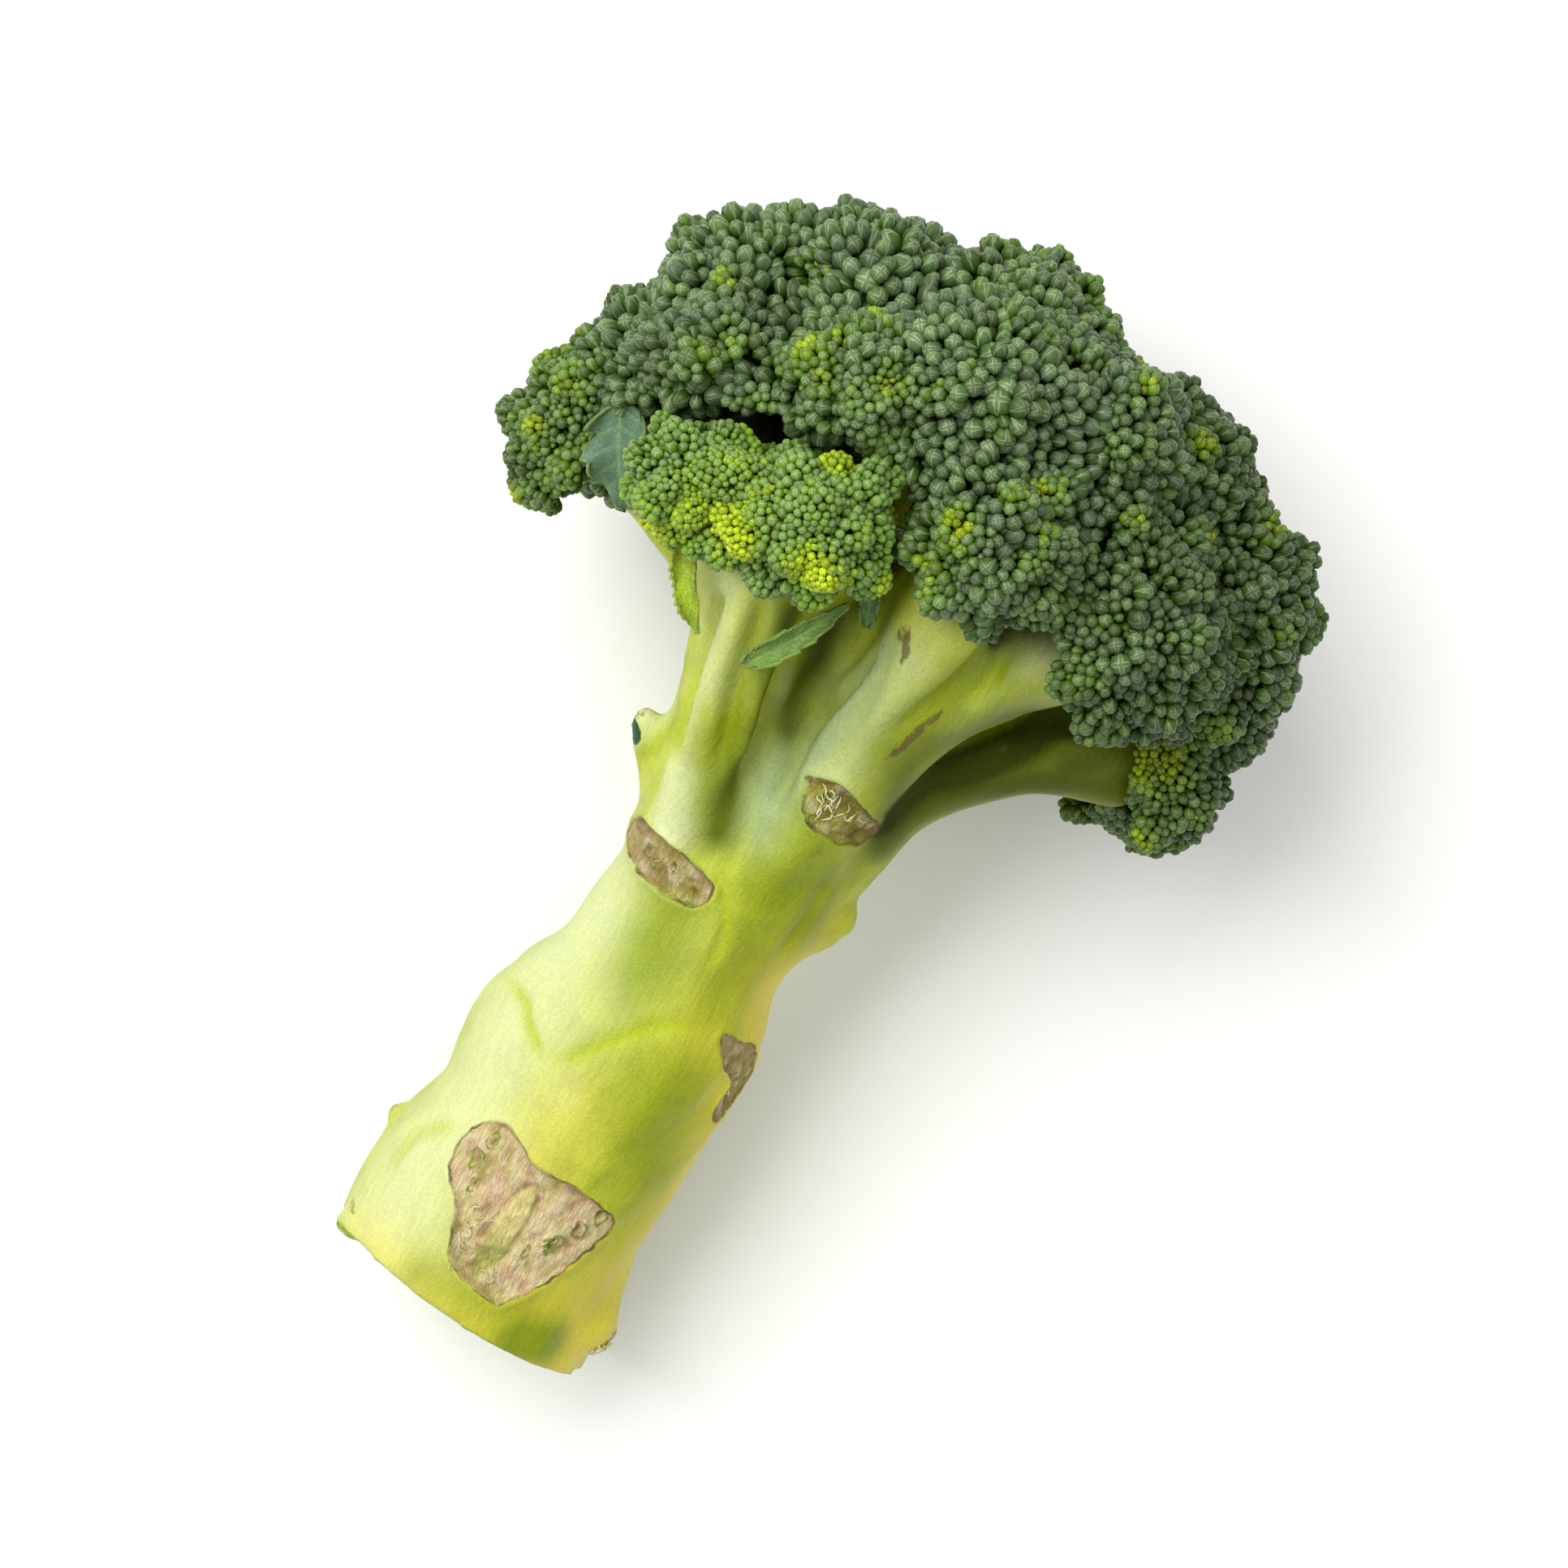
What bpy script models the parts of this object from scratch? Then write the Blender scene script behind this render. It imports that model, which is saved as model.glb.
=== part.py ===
"""Broccoli head, cut from its plant and lying on a surface.

A thick fluted stalk carries branches that fan out into a domed crown. Every branch ends in a floret, which
is a dense head of flower buds, and a few small leaves grow between them. The stalk and its branches grew
as one piece.

Frame: +X runs along the stalk, from the cut end to the top of the crown, +Z is up, and the head rests on
z = 0. Sizes are in millimetres, turned into metres where a mesh or a place is set.
"""

import math

import bmesh
import bpy
from mathutils import Matrix, Vector

MM = 0.001

# Driving dimensions
CUT_X = -86.0  # middle of the cut end
CUT_TILT = 5.5  # degrees that the cut end faces below the level
CUT_TURN = -5.0  # and to the side
CROWN_HUB = Vector((-4.0, -1.0, 41.0))  # where the branches part
CROWN_FOOT = Vector((24.0, 0.0, 50.0))  # the florets face away from here
GAP = 0.3  # clearance between two pieces
FLARE = 2.6  # how late the hidden branches bend outwards
BASE_DEPTH = 0.36  # how far below a floret's middle its underside lies, as a share of its outward radius
SKIN_GRAIN = 1.3  # grain of the skin that joins the branches
SKIN_SHARE = 0.085  # share of the skin's triangles that the stalk keeps
SKIN_PASSES = 4  # how often the skin is smoothed
SHARP_EDGE = 40.0  # degrees, above which an edge is drawn sharp
KNIFE_BLOCK = 80.0  # side of the block that the knife's cut takes off
LEAF_THICKNESS = 0.9
LEAF_CUP = 0.12  # how far a leaf's edges rise, as a share of its width
LEAF_ENDS = 0.06  # share of the blade's outline that its blunt base and tip leave off
LEAF_FULLNESS = 0.8  # under 1 fills the outline out
LEAF_LEAN = 0.7  # under 1 moves the widest place towards the base
LEAF_ROWS = 6
LEAF_COLUMNS = 2  # on each side of the midrib

# Stalk: x, y, z and radius along its middle
TRUNK = (
    (-100, 1.6, 18.0, 21.4),
    (-86, 2.2, 21.2, 21.2),
    (-74, 3.2, 24.0, 20.7),
    (-58, 1.2, 28.0, 19.0),
    (-44, 0.6, 31.0, 19.4),
    (-35, -1.2, 33.2, 18.0),
    (-25, -0.6, 35.2, 15.2),
    (-17, -1.4, 37.0, 15.1),
    (-6, -2.0, 39.6, 15.8),
    (8, -1.5, 43.5, 14.5),
    (22, 0.0, 47.5, 12.0),
    (36, 0.0, 50.5, 9.0),
)

# Branches that show below the florets, in the same way, each from inside the trunk to its floret
BRANCHES = {
    "front_left": (
        (-18, 4, 41, 9),
        (-4, 8, 50.5, 7.4),
        (8, 10, 58, 6.6),
        (20, 12.5, 66, 6.2),
        (32, 15.5, 75, 6),
    ),
    "front_left_outer": (
        (-16, 6, 38, 8),
        (0, 10, 47, 6.4),
        (12, 14, 56, 5.2),
        (22, 18, 64, 4.8),
        (31, 23, 75, 5),
    ),
    "front_right": (
        (-16, -4, 42, 9),
        (0, -7, 50.5, 7.4),
        (12, -8.5, 57, 6.8),
        (24, -9.5, 63.5, 6.6),
        (38, -10, 72, 7),
    ),
    "front_right_outer": (
        (-4, -8, 47, 8),
        (10, -11, 53.5, 6.6),
        (21, -15, 58, 6.2),
        (31, -22, 61, 6),
        (40, -30, 64, 7),
    ),
    "right": (
        (-14, -8, 37, 9.6),
        (0, -13.5, 40, 7.4),
        (10, -17, 43, 6.6),
        (18, -24, 45, 6),
        (25, -34, 45, 5.4),
        (30, -46, 44, 5),
    ),
    "left": (
        (-10, 4, 38, 9),
        (6, 9, 44, 7),
        (17, 13, 47, 6),
        (25, 20, 47, 5.4),
        (30, 30, 46, 5),
        (33, 42, 47, 5),
    ),
    "centre": ((-8, 1, 41, 10), (10, 1.5, 50, 7.6), (26, 6, 58, 6.6), (44, 12, 68, 7)),
}

# What is left of broken leaf stalks, in the same way, and the swelling beside one of their scars
STUBS = {
    "left": ((-9, 8, 44, 6), (-3, 16, 47, 3.2), (0.5, 20.5, 48, 2)),
    "right": ((-16, -11, 36, 7), (-12, -17, 35, 4.4), (-9.5, -20.5, 35, 1.8)),
    "cut_left": ((-74, 17, 24, 7), (-70, 21.5, 24, 2.4), (-67, 23.2, 24, 1.2)),
    "cut_right": ((-72, -12, 22, 7), (-78, -17, 23, 3.4), (-81.5, -20.5, 24, 1.8)),
    "swelling": ((-54, -9, 32, 8), (-44, -10.6, 35, 8.2), (-35, -9, 36, 8)),
}

# Radius of a hidden branch, by share of its way out
INNER_RADII = ((0.0, 8.0), (0.35, 6.5), (0.7, 5.5), (1.0, 5.0))

# Florets: middle, and radius along the stalk's way, round the crown and outwards
FLORETS = {
    "left": ((33.5, 46.5, 50), (15.5, 15.0, 12.5)),
    "left_inner": ((43.5, 42.5, 57), (13.5, 14.0, 13.5)),
    "left_front": ((48.0, 33.0, 70), (13.5, 13.0, 13.0)),
    "upper_left": ((59.5, 37.0, 57), (14.5, 15.0, 13.5)),
    "top_left": ((68.5, 22.5, 60), (15.5, 15.5, 13.0)),
    "centre": ((53.0, 15.5, 79), (13.5, 14.0, 13.5)),
    "top_front": ((63.5, 1.5, 76), (15.0, 15.5, 13.0)),
    "top": ((75.0, 1.5, 55), (17.0, 18.0, 12.3)),
    "upper_right": ((66.0, -17.0, 70), (14.5, 15.0, 13.0)),
    "right_upper": ((67.5, -28.5, 54), (16.0, 17.0, 13.0)),
    "right": ((56.0, -44.5, 51), (16.0, 16.0, 13.0)),
    "right_rim": ((43.5, -47.0, 47), (13.5, 14.0, 12.5)),
    "lower_right": ((29.5, -50.0, 44), (11.0, 10.5, 9.0)),
    "right_behind": ((29.0, -42.5, 29), (11.0, 11.5, 10.0)),
    "front_left": ((36.0, 11.8, 80.5), (13.5, 13.0, 14.0)),
    "front_left_outer": ((32.5, 27.5, 77), (11.0, 11.5, 12.5)),
    "front_right": ((44.5, -10.0, 79), (14.5, 14.5, 14.5)),
    "front_outer": ((44.0, -33.0, 67), (17.0, 18.0, 15.5)),
    "top_back": ((72.5, 1.0, 35), (16.0, 18.0, 13.0)),
    "top_back_left": ((69.5, 23.0, 38), (15.0, 15.5, 13.0)),
    "back_left": ((56.0, 37.0, 33), (15.0, 15.5, 13.5)),
    "low_left": ((37.0, 41.0, 27), (14.5, 14.5, 13.5)),
    "bottom_left": ((41.0, 24.0, 14.2), (15.5, 16.5, 15.6)),
    "bottom": ((49.5, 0.5, 16.0), (15.5, 15.5, 14.5)),
    "bottom_right": ((42.0, -23.0, 14.2), (15.5, 16.5, 15.6)),
    "low_right": ((46.0, -40.5, 28), (14.5, 14.5, 13.5)),
    "back_right": ((61.5, -22.0, 31), (16.5, 18.0, 13.5)),
    "back": ((62.0, 8.0, 24), (15.5, 18.0, 13.5)),
}

# Leaves: base, tip, the way the blade faces, width, and how far the blade arches
LEAVES = {
    "left": ((23.0, 33.0, 56), (30.5, 38.5, 54), (-0.3, -0.3, 1.0), 9.0, 1.2),
    "curled": ((24.0, 25.5, 72), (17.0, 19.8, 71), (-0.3, 0.2, 1.0), 3.6, 0.8),
    "middle": ((25.0, 4.0, 72), (15.5, 10.0, 71.5), (-0.4, 0.0, 1.0), 4.4, 1.2),
    "shade": ((23.0, -0.5, 64), (33.0, 0.5, 69), (-0.5, 0.0, 1.0), 4.0, 0.8),
    "low_left": ((7.0, 9.5, 32), (21.0, 16.0, 29), (-0.4, 0.6, -0.7), 7.0, 1.0),
    "low_right": ((6.0, -14.0, 31), (19.0, -21.5, 28.5), (-0.4, -0.6, -0.7), 6.0, 1.0),
}


def clear_scene():
    for old in list(bpy.data.objects):
        bpy.data.objects.remove(old, do_unlink=True)


def material(name, colour, roughness):
    made = bpy.data.materials.new(name)
    made.use_nodes = True
    shader = made.node_tree.nodes["Principled BSDF"]
    shader.inputs["Base Color"].default_value = (*colour, 1.0)
    shader.inputs["Roughness"].default_value = roughness
    return made


def new_object(name, data, place=(0.0, 0.0, 0.0)):
    made = bpy.data.objects.new(name, data)
    made.location = Vector(place) * MM
    bpy.context.scene.collection.objects.link(made)
    return made


def new_part(name, mesh, finish, head, place=(0.0, 0.0, 0.0)):
    """A piece of the head, smooth but for its sharp edges."""
    made = new_object(name, mesh, place)
    made.parent = head
    mesh.materials.clear()
    mesh.materials.append(finish)
    mesh.shade_smooth()
    mesh.set_sharp_from_angle(angle=math.radians(SHARP_EDGE))
    return made


def new_cutter(name, mesh, place):
    """A shape that is cut out of the stalk, and no part of the head."""
    made = new_object(name, mesh, place)
    made.hide_render = True
    made.display_type = "WIRE"
    return made


def mesh_of(form, name):
    """The mesh, in metres, of a shape made in millimetres."""
    bmesh.ops.transform(form, matrix=Matrix.Diagonal((MM, MM, MM, 1.0)), verts=form.verts)
    mesh = bpy.data.meshes.new(name)
    form.to_mesh(mesh)
    form.free()
    return mesh


# Florets


def outward_way(name):
    """The way a floret faces, away from the stem that carries it."""
    return (Vector(FLORETS[name][0]) - CROWN_FOOT).normalized()


def dome_form(name, grow=0.0):
    """The matrix that takes a ball of radius 1 to the floret's dome before its neighbours press on it."""
    outward = outward_way(name)
    level = Vector((1.0, 0.0, 0.0)) if abs(outward.x) < 0.8 else Vector((0.0, 0.0, 1.0))
    along = (level - outward * level.dot(outward)).normalized()
    axes = Matrix((along, outward.cross(along), outward)).transposed()
    return axes.to_4x4() @ Matrix.Diagonal((*(radius + grow for radius in FLORETS[name][1]), 1.0))


def reach_towards(name, way):
    """How far the floret's dome reaches from its middle in a direction."""
    return 1.0 / (dome_form(name).to_3x3().inverted() @ way).length


def neighbour_planes(name, grow):
    """Where the florets around this one press on it, as a point from its middle and an outward normal."""
    for other in FLORETS:
        way = Vector(FLORETS[other][0]) - Vector(FLORETS[name][0])
        distance = way.length
        if other == name:
            continue
        way.normalize()
        mine, theirs = reach_towards(name, way), reach_towards(other, way)
        if mine + theirs > distance:
            shared = (distance**2 + mine**2 - theirs**2) / (2 * distance)
            yield way * (shared - GAP / 2 + grow), way


def floret_mesh(name, grow=0.0):
    """A dome, flattened where it meets its neighbours, its stem and the surface that the head lies on."""
    form = bmesh.new()
    bmesh.ops.create_icosphere(form, subdivisions=2, radius=1.0)
    bmesh.ops.transform(form, matrix=dome_form(name, grow), verts=form.verts)
    middle, radii = FLORETS[name]
    under, down = -outward_way(name), Vector((0.0, 0.0, -1.0))
    planes = [
        *neighbour_planes(name, grow),
        (under * (BASE_DEPTH * radii[2] + grow), under),
        (down * (middle[2] + grow), down),
    ]
    for point, way in planes:
        whole = [*form.verts, *form.edges, *form.faces]
        bmesh.ops.bisect_plane(form, geom=whole, dist=0.01, plane_co=point, plane_no=way, clear_outer=True)
        bmesh.ops.holes_fill(form, edges=[edge for edge in form.edges if edge.is_boundary], sides=0)
    bmesh.ops.dissolve_limit(form, angle_limit=0.02, verts=form.verts, edges=form.edges)
    bmesh.ops.triangulate(form, faces=form.faces)
    bmesh.ops.recalc_face_normals(form, faces=form.faces)
    return mesh_of(form, name)


def build_florets(finish, head):
    for name, (middle, _) in FLORETS.items():
        new_part("floret_" + name, floret_mesh(name), finish, head, middle)


# Stalk


def add_stem(curve, route):
    """One round stem through the points of a route, with a radius at each."""
    spline = curve.splines.new("BEZIER")
    spline.bezier_points.add(len(route) - 1)
    for point, (x, y, z, radius) in zip(spline.bezier_points, route):
        point.co = Vector((x, y, z)) * MM
        point.radius = radius
        point.handle_left_type = point.handle_right_type = "AUTO"


def inner_route(middle):
    """The route of a branch inside the crown: along the stalk at first, then outwards to its floret."""
    reach = Vector(middle) - CROWN_HUB
    route = []
    for share, radius in INNER_RADII:
        out = share**FLARE
        point = CROWN_HUB + Vector((reach.x * share, reach.y * out, reach.z * out))
        route.append((*point, radius))
    return route


def stem_mesh():
    """The trunk, the branches and the stubs as round stems that run into each other."""
    curve = bpy.data.curves.new("stems", "CURVE")
    curve.dimensions = "3D"
    curve.bevel_depth = MM
    curve.bevel_resolution = 6
    curve.resolution_u = 8
    curve.use_fill_caps = True
    inner = [inner_route(middle) for middle, _ in FLORETS.values()]
    for route in [TRUNK, *BRANCHES.values(), *STUBS.values(), *inner]:
        add_stem(curve, route)
    guide = new_object("stems", curve)
    seen = guide.evaluated_get(bpy.context.evaluated_depsgraph_get())
    mesh = bpy.data.meshes.new_from_object(seen)
    bpy.data.objects.remove(guide)
    return mesh


def knife_block():
    """What the knife's straight cut takes off the stalk's lower end."""
    form = bmesh.new()
    bmesh.ops.create_cube(form, size=KNIFE_BLOCK)
    turn = Matrix.Rotation(math.radians(CUT_TURN), 3, "Z") @ Matrix.Rotation(math.radians(-CUT_TILT), 3, "Y")
    cut_middle = Vector((CUT_X, *TRUNK[1][1:3]))
    place = cut_middle - turn @ Vector((KNIFE_BLOCK / 2, 0.0, 0.0))
    block = new_cutter("knife_block", mesh_of(form, "knife_block"), place)
    block.rotation_euler = turn.to_euler()
    return block


def build_stalk(finish, head):
    """One skin over all the stems, cut straight below and hollowed where each floret sits."""
    stalk = new_part("stalk", stem_mesh(), finish, head)
    skin = stalk.modifiers.new("skin", "REMESH")
    skin.mode = "VOXEL"
    skin.voxel_size = SKIN_GRAIN * MM
    skin.use_smooth_shade = True
    soften = stalk.modifiers.new("soften", "SMOOTH")
    soften.factor = 0.5
    soften.iterations = SKIN_PASSES
    stalk.modifiers.new("thin", "DECIMATE").ratio = SKIN_SHARE
    seats = [
        new_cutter("seat_" + name, floret_mesh(name, GAP), middle) for name, (middle, _) in FLORETS.items()
    ]
    for cutter in [knife_block(), *seats]:
        cut = stalk.modifiers.new("cut_" + cutter.name, "BOOLEAN")
        cut.operation = "DIFFERENCE"
        cut.solver = "EXACT"
        cut.object = cutter


# Leaves


def blade_rows(name, side):
    """Points over one side of a blade, from base to tip: its midrib is sunk and its middle arched."""
    base, tip, facing, width, arch = LEAVES[name]
    length = Vector(tip) - Vector(base)
    across = Vector(facing).cross(length).normalized()
    up = length.cross(across).normalized()
    rows = []
    for i in range(LEAF_ROWS + 1):
        share = i / LEAF_ROWS
        along = LEAF_ENDS + (1 - 2 * LEAF_ENDS) * share**LEAF_LEAN
        half = width / 2 * math.sin(math.pi * along) ** LEAF_FULLNESS
        rise = arch * 4 * share * (1 - share) + side * LEAF_THICKNESS / 2
        row = []
        for j in range(-LEAF_COLUMNS, LEAF_COLUMNS + 1):
            out = j / LEAF_COLUMNS
            row.append(length * share + across * (half * out) + up * (rise + LEAF_CUP * width * out**2))
        rows.append(row)
    return rows


def rim_of(rows):
    """The points round the edge of a grid, in order."""
    right = [row[-1] for row in rows[1:]]
    left = [row[0] for row in rows[-2:0:-1]]
    return [*rows[0], *right, *reversed(rows[-1][:-1]), *left]


def leaf_mesh(name):
    """A small closed blade, widest before its middle."""
    form = bmesh.new()
    rims = []
    for side in (1, -1):
        rows = [[form.verts.new(point) for point in row] for row in blade_rows(name, side)]
        for low, high in zip(rows, rows[1:]):
            for j in range(len(low) - 1):
                form.faces.new((low[j], low[j + 1], high[j + 1], high[j]))
        rims.append(rim_of(rows))
    upper, lower = rims
    for i in range(len(upper)):
        form.faces.new((upper[i - 1], upper[i], lower[i], lower[i - 1]))
    bmesh.ops.recalc_face_normals(form, faces=form.faces)
    return mesh_of(form, name)


def build_leaves(finish, head):
    for name, (base, *_) in LEAVES.items():
        new_part("leaf_" + name, leaf_mesh(name), finish, head, base)


def main():
    clear_scene()
    head = new_object("broccoli_head", None)
    build_stalk(material("stalk_skin", (0.47, 0.52, 0.10), 0.45), head)
    build_florets(material("flower_buds", (0.11, 0.17, 0.06), 0.7), head)
    build_leaves(material("leaf_blade", (0.10, 0.18, 0.06), 0.5), head)


main()
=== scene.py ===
"""Broccoli head lying on a pale surface: its flower buds, the fluted stalk with leaf scars, and the leaves.

The frame holds the head's plain solids: one stalk, 28 florets and six leaves. This script gives each of them
its real surface in the same place and size. Sizes in the tables are in millimetres, and meshes are in metres.
"""

import math

import bmesh
import bpy
import numpy as np
from bpy.props import FloatProperty, FloatVectorProperty, IntProperty, PointerProperty
from mathutils import Matrix, Vector
from mathutils import noise as mathutils_noise
from mathutils.bvhtree import BVHTree
from mathutils.kdtree import KDTree


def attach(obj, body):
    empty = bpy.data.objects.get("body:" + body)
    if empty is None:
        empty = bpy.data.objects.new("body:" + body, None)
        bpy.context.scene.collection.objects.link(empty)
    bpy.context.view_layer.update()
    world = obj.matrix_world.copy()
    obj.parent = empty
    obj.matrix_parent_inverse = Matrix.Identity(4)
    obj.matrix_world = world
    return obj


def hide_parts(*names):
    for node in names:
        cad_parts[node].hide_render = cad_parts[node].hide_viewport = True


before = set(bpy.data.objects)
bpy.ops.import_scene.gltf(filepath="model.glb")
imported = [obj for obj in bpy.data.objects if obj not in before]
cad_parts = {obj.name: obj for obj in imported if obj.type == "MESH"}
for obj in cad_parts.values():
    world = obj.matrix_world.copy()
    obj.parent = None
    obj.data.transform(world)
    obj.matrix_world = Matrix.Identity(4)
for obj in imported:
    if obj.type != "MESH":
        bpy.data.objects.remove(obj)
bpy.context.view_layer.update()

bl_info = {
    "name": "Broccoli Head",
    "version": (1, 0, 0),
    "blender": (4, 5, 0),
    "location": "View3D > Sidebar > Broccoli",
    "description": "Grows the buds, skin and leaves of a cut broccoli head on its plain solids",
    "category": "Add Mesh",
}

MM = 0.001


def linear(code):
    """The linear colour of an sRGB hex code."""
    channels = [int(code[i : i + 2], 16) / 255 for i in (1, 3, 5)]
    return tuple(c / 12.92 if c <= 0.04045 else ((c + 0.055) / 1.055) ** 2.4 for c in channels)


# Looks of the florets -----------------------------------------------------------------------------------


class Look:
    """How the buds of one floret differ from the others'."""

    def __init__(self, bud=2.75, umbel=9.5, closed=0.55, bloom=0.7, length=1.3, age=1.0, value=0.5):
        self.bud = bud  # width of a full-grown bud
        self.umbel = umbel  # distance between the middles of two umbels
        self.closed = closed  # share of umbels whose middle has no young buds left
        self.bloom = bloom  # grey-blue wax on the buds
        self.length = length  # a full-grown bud's length over its width
        self.age = age  # 0 for young buds all over, 1 for full-grown ones
        self.value = value  # 0 for dark buds, 1 for light ones; low on the right-hand florets, partly their own darker tone and partly painted shade


LOOKS = {
    "front_left": Look(bud=1.9, umbel=7.5, closed=0.9, bloom=0.3, length=1.15, age=0.62, value=0.75),
    "front_left_outer": Look(bud=1.75, umbel=7.0, closed=0.8, bloom=0.05, length=1.15, age=0.52, value=0.8),
    "front_right": Look(bud=2.6, closed=0.85, bloom=0.55, value=0.4),
    "front_outer": Look(bud=2.5, bloom=0.45, closed=0.8, value=0.25),
    "centre": Look(bud=2.6, closed=0.7, bloom=0.45),
    "left": Look(bud=2.0, umbel=8.0, closed=0.7, bloom=0.15, age=0.75, value=0.4),
    "left_inner": Look(bud=2.7, bloom=0.6, closed=0.9, length=1.5, value=0.4),
    "left_front": Look(bud=2.8, bloom=0.6, closed=0.9, length=1.45, value=0.35),
    "upper_left": Look(bud=2.9, bloom=0.8, closed=0.9, length=1.45),
    "top_left": Look(bud=2.9, bloom=0.7, closed=0.9, length=1.4),
    "top_front": Look(bud=3.0, bloom=0.8, closed=0.95),
    "upper_right": Look(value=0.35, closed=0.9),
    "right_upper": Look(value=0.25, closed=0.9, bloom=0.5),
    "right": Look(value=0.2, bloom=0.4),
    "right_rim": Look(bud=2.4, value=0.2, bloom=0.4),
    "lower_right": Look(bud=2.1, umbel=8.0, closed=0.6, bloom=0.3, age=0.8, value=0.3),
    "right_behind": Look(bud=2.1, umbel=8.0, closed=0.6, bloom=0.3, age=0.85, value=0.3),
    "bottom": Look(bud=3.1, closed=0.9),
    "bottom_left": Look(bud=3.0, closed=0.9, value=0.4),
    "bottom_right": Look(bud=3.0, closed=0.9, value=0.4),
}

# Florets that stand clear of the rest of the crown, with a dark cleft round them
FRONT_GROUPS = (("front_left", "front_left_outer"),)

# Where buds are younger, below 0, or older and waxier, above 0: x, y, z, radius and how much
AGE_PATCHES = (
    (28.5, 20.5, 86, 6, -0.85),
    (29, 9, 89.5, 5.2, -0.85),
    (30.3, 31.5, 87, 6, -0.12),
    (29.7, 4, 88, 4, -0.6),
    (36, 24.5, 90.5, 5, -0.3),
    (56.5, 11.6, 90.8, 4, -0.8),
    (48, 8.5, 88.5, 4, -0.45),
    (52, 22, 89.9, 3, -0.7),
    (51.8, 15, 91.8, 3, -0.6),
    (51, 35, 81.8, 5, -0.5),
    (60.5, 23, 86, 2.6, -0.6),
    (35, 53, 61.8, 4.5, -0.6),
    (27, 53, 60.5, 4, -0.45),
    (43, -6.2, 92, 5, -0.5),
    (35, -4, 87, 5, -0.55),
    (45, -18.3, 90.4, 4, -0.5),
    (56, -12.9, 86.4, 1.7, -0.9),
    (57.6, -25.9, 77.8, 1.7, -0.8),
    (61.9, -36.7, 65.9, 1.6, -0.9),
    (34, -29.5, 80.5, 4.5, -0.4),
    (32, -46, 50, 6.5, -0.75),
    (39.1, -51, 58.7, 3, -0.6),
    (48.8, -11.5, 92, 6, 0.9),
    (48.5, -28.2, 82.7, 5, 0.5),
    (60.5, -3, 88.5, 6.5, 0.9),
    (43.7, 32.4, 81.7, 3.5, 0.9),
    (47.1, 47.6, 68.5, 6, 0.7),
    (69, 19, 74.5, 9, 0.8),
)


# Settings -----------------------------------------------------------------------------------------------


def colour_setting(name, description, code):
    return FloatVectorProperty(name=name, description=description, default=linear(code), subtype="COLOR")


class BudSettings(bpy.types.PropertyGroup):
    """Sizes and colours of the flower buds."""

    youngest: FloatProperty(
        name="Youngest bud", description="Width of the youngest buds", default=1.1 * MM, unit="LENGTH"
    )
    umbel_drop: FloatProperty(
        name="Umbel drop",
        description="How far an umbel falls away from its middle to its edge",
        default=2.5 * MM,
        unit="LENGTH",
    )
    umbel_root: FloatProperty(
        name="Umbel root",
        description="How far below its middle an umbel's bud stems part",
        default=7.0 * MM,
        unit="LENGTH",
    )
    tuft: FloatProperty(
        name="Tuft",
        description="Distance between the small bunches of an umbel",
        default=5.6 * MM,
        unit="LENGTH",
    )
    tuft_drop: FloatProperty(
        name="Tuft drop", description="How far a tuft falls away to its edge", default=1.3 * MM, unit="LENGTH"
    )
    overlap: FloatProperty(
        name="Bud overlap", description="Share of its width that a bud may lap", default=0.3, subtype="FACTOR"
    )
    young: colour_setting("Young bud", "Colour of the youngest buds", "#a6b812")
    half_grown: colour_setting("Half-grown bud", "Colour of buds halfway", "#5a7f10")
    grown: colour_setting("Grown bud", "Colour of full-grown buds", "#3a560f")
    wax: colour_setting("Bud wax", "Colour of the wax on grown buds", "#586c50")
    seam: colour_setting("Sepal edge", "Colour of the sepals' edges", "#9fb382")
    # Painted shade: near-black stems between the buds, and in the slits between the sepals
    core: colour_setting("Painted stem shade", "Painted shade on the stems below the buds and in the sepal slits", "#18240a")
    stems: colour_setting("Undersides", "Colour of the florets' undersides", "#56701f")
    ribs: colour_setting("Ribs", "Colour of the ribs of the undersides", "#8fa54a")
    seed: IntProperty(name="Seed", description="Picks another arrangement of the buds", default=7)


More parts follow.
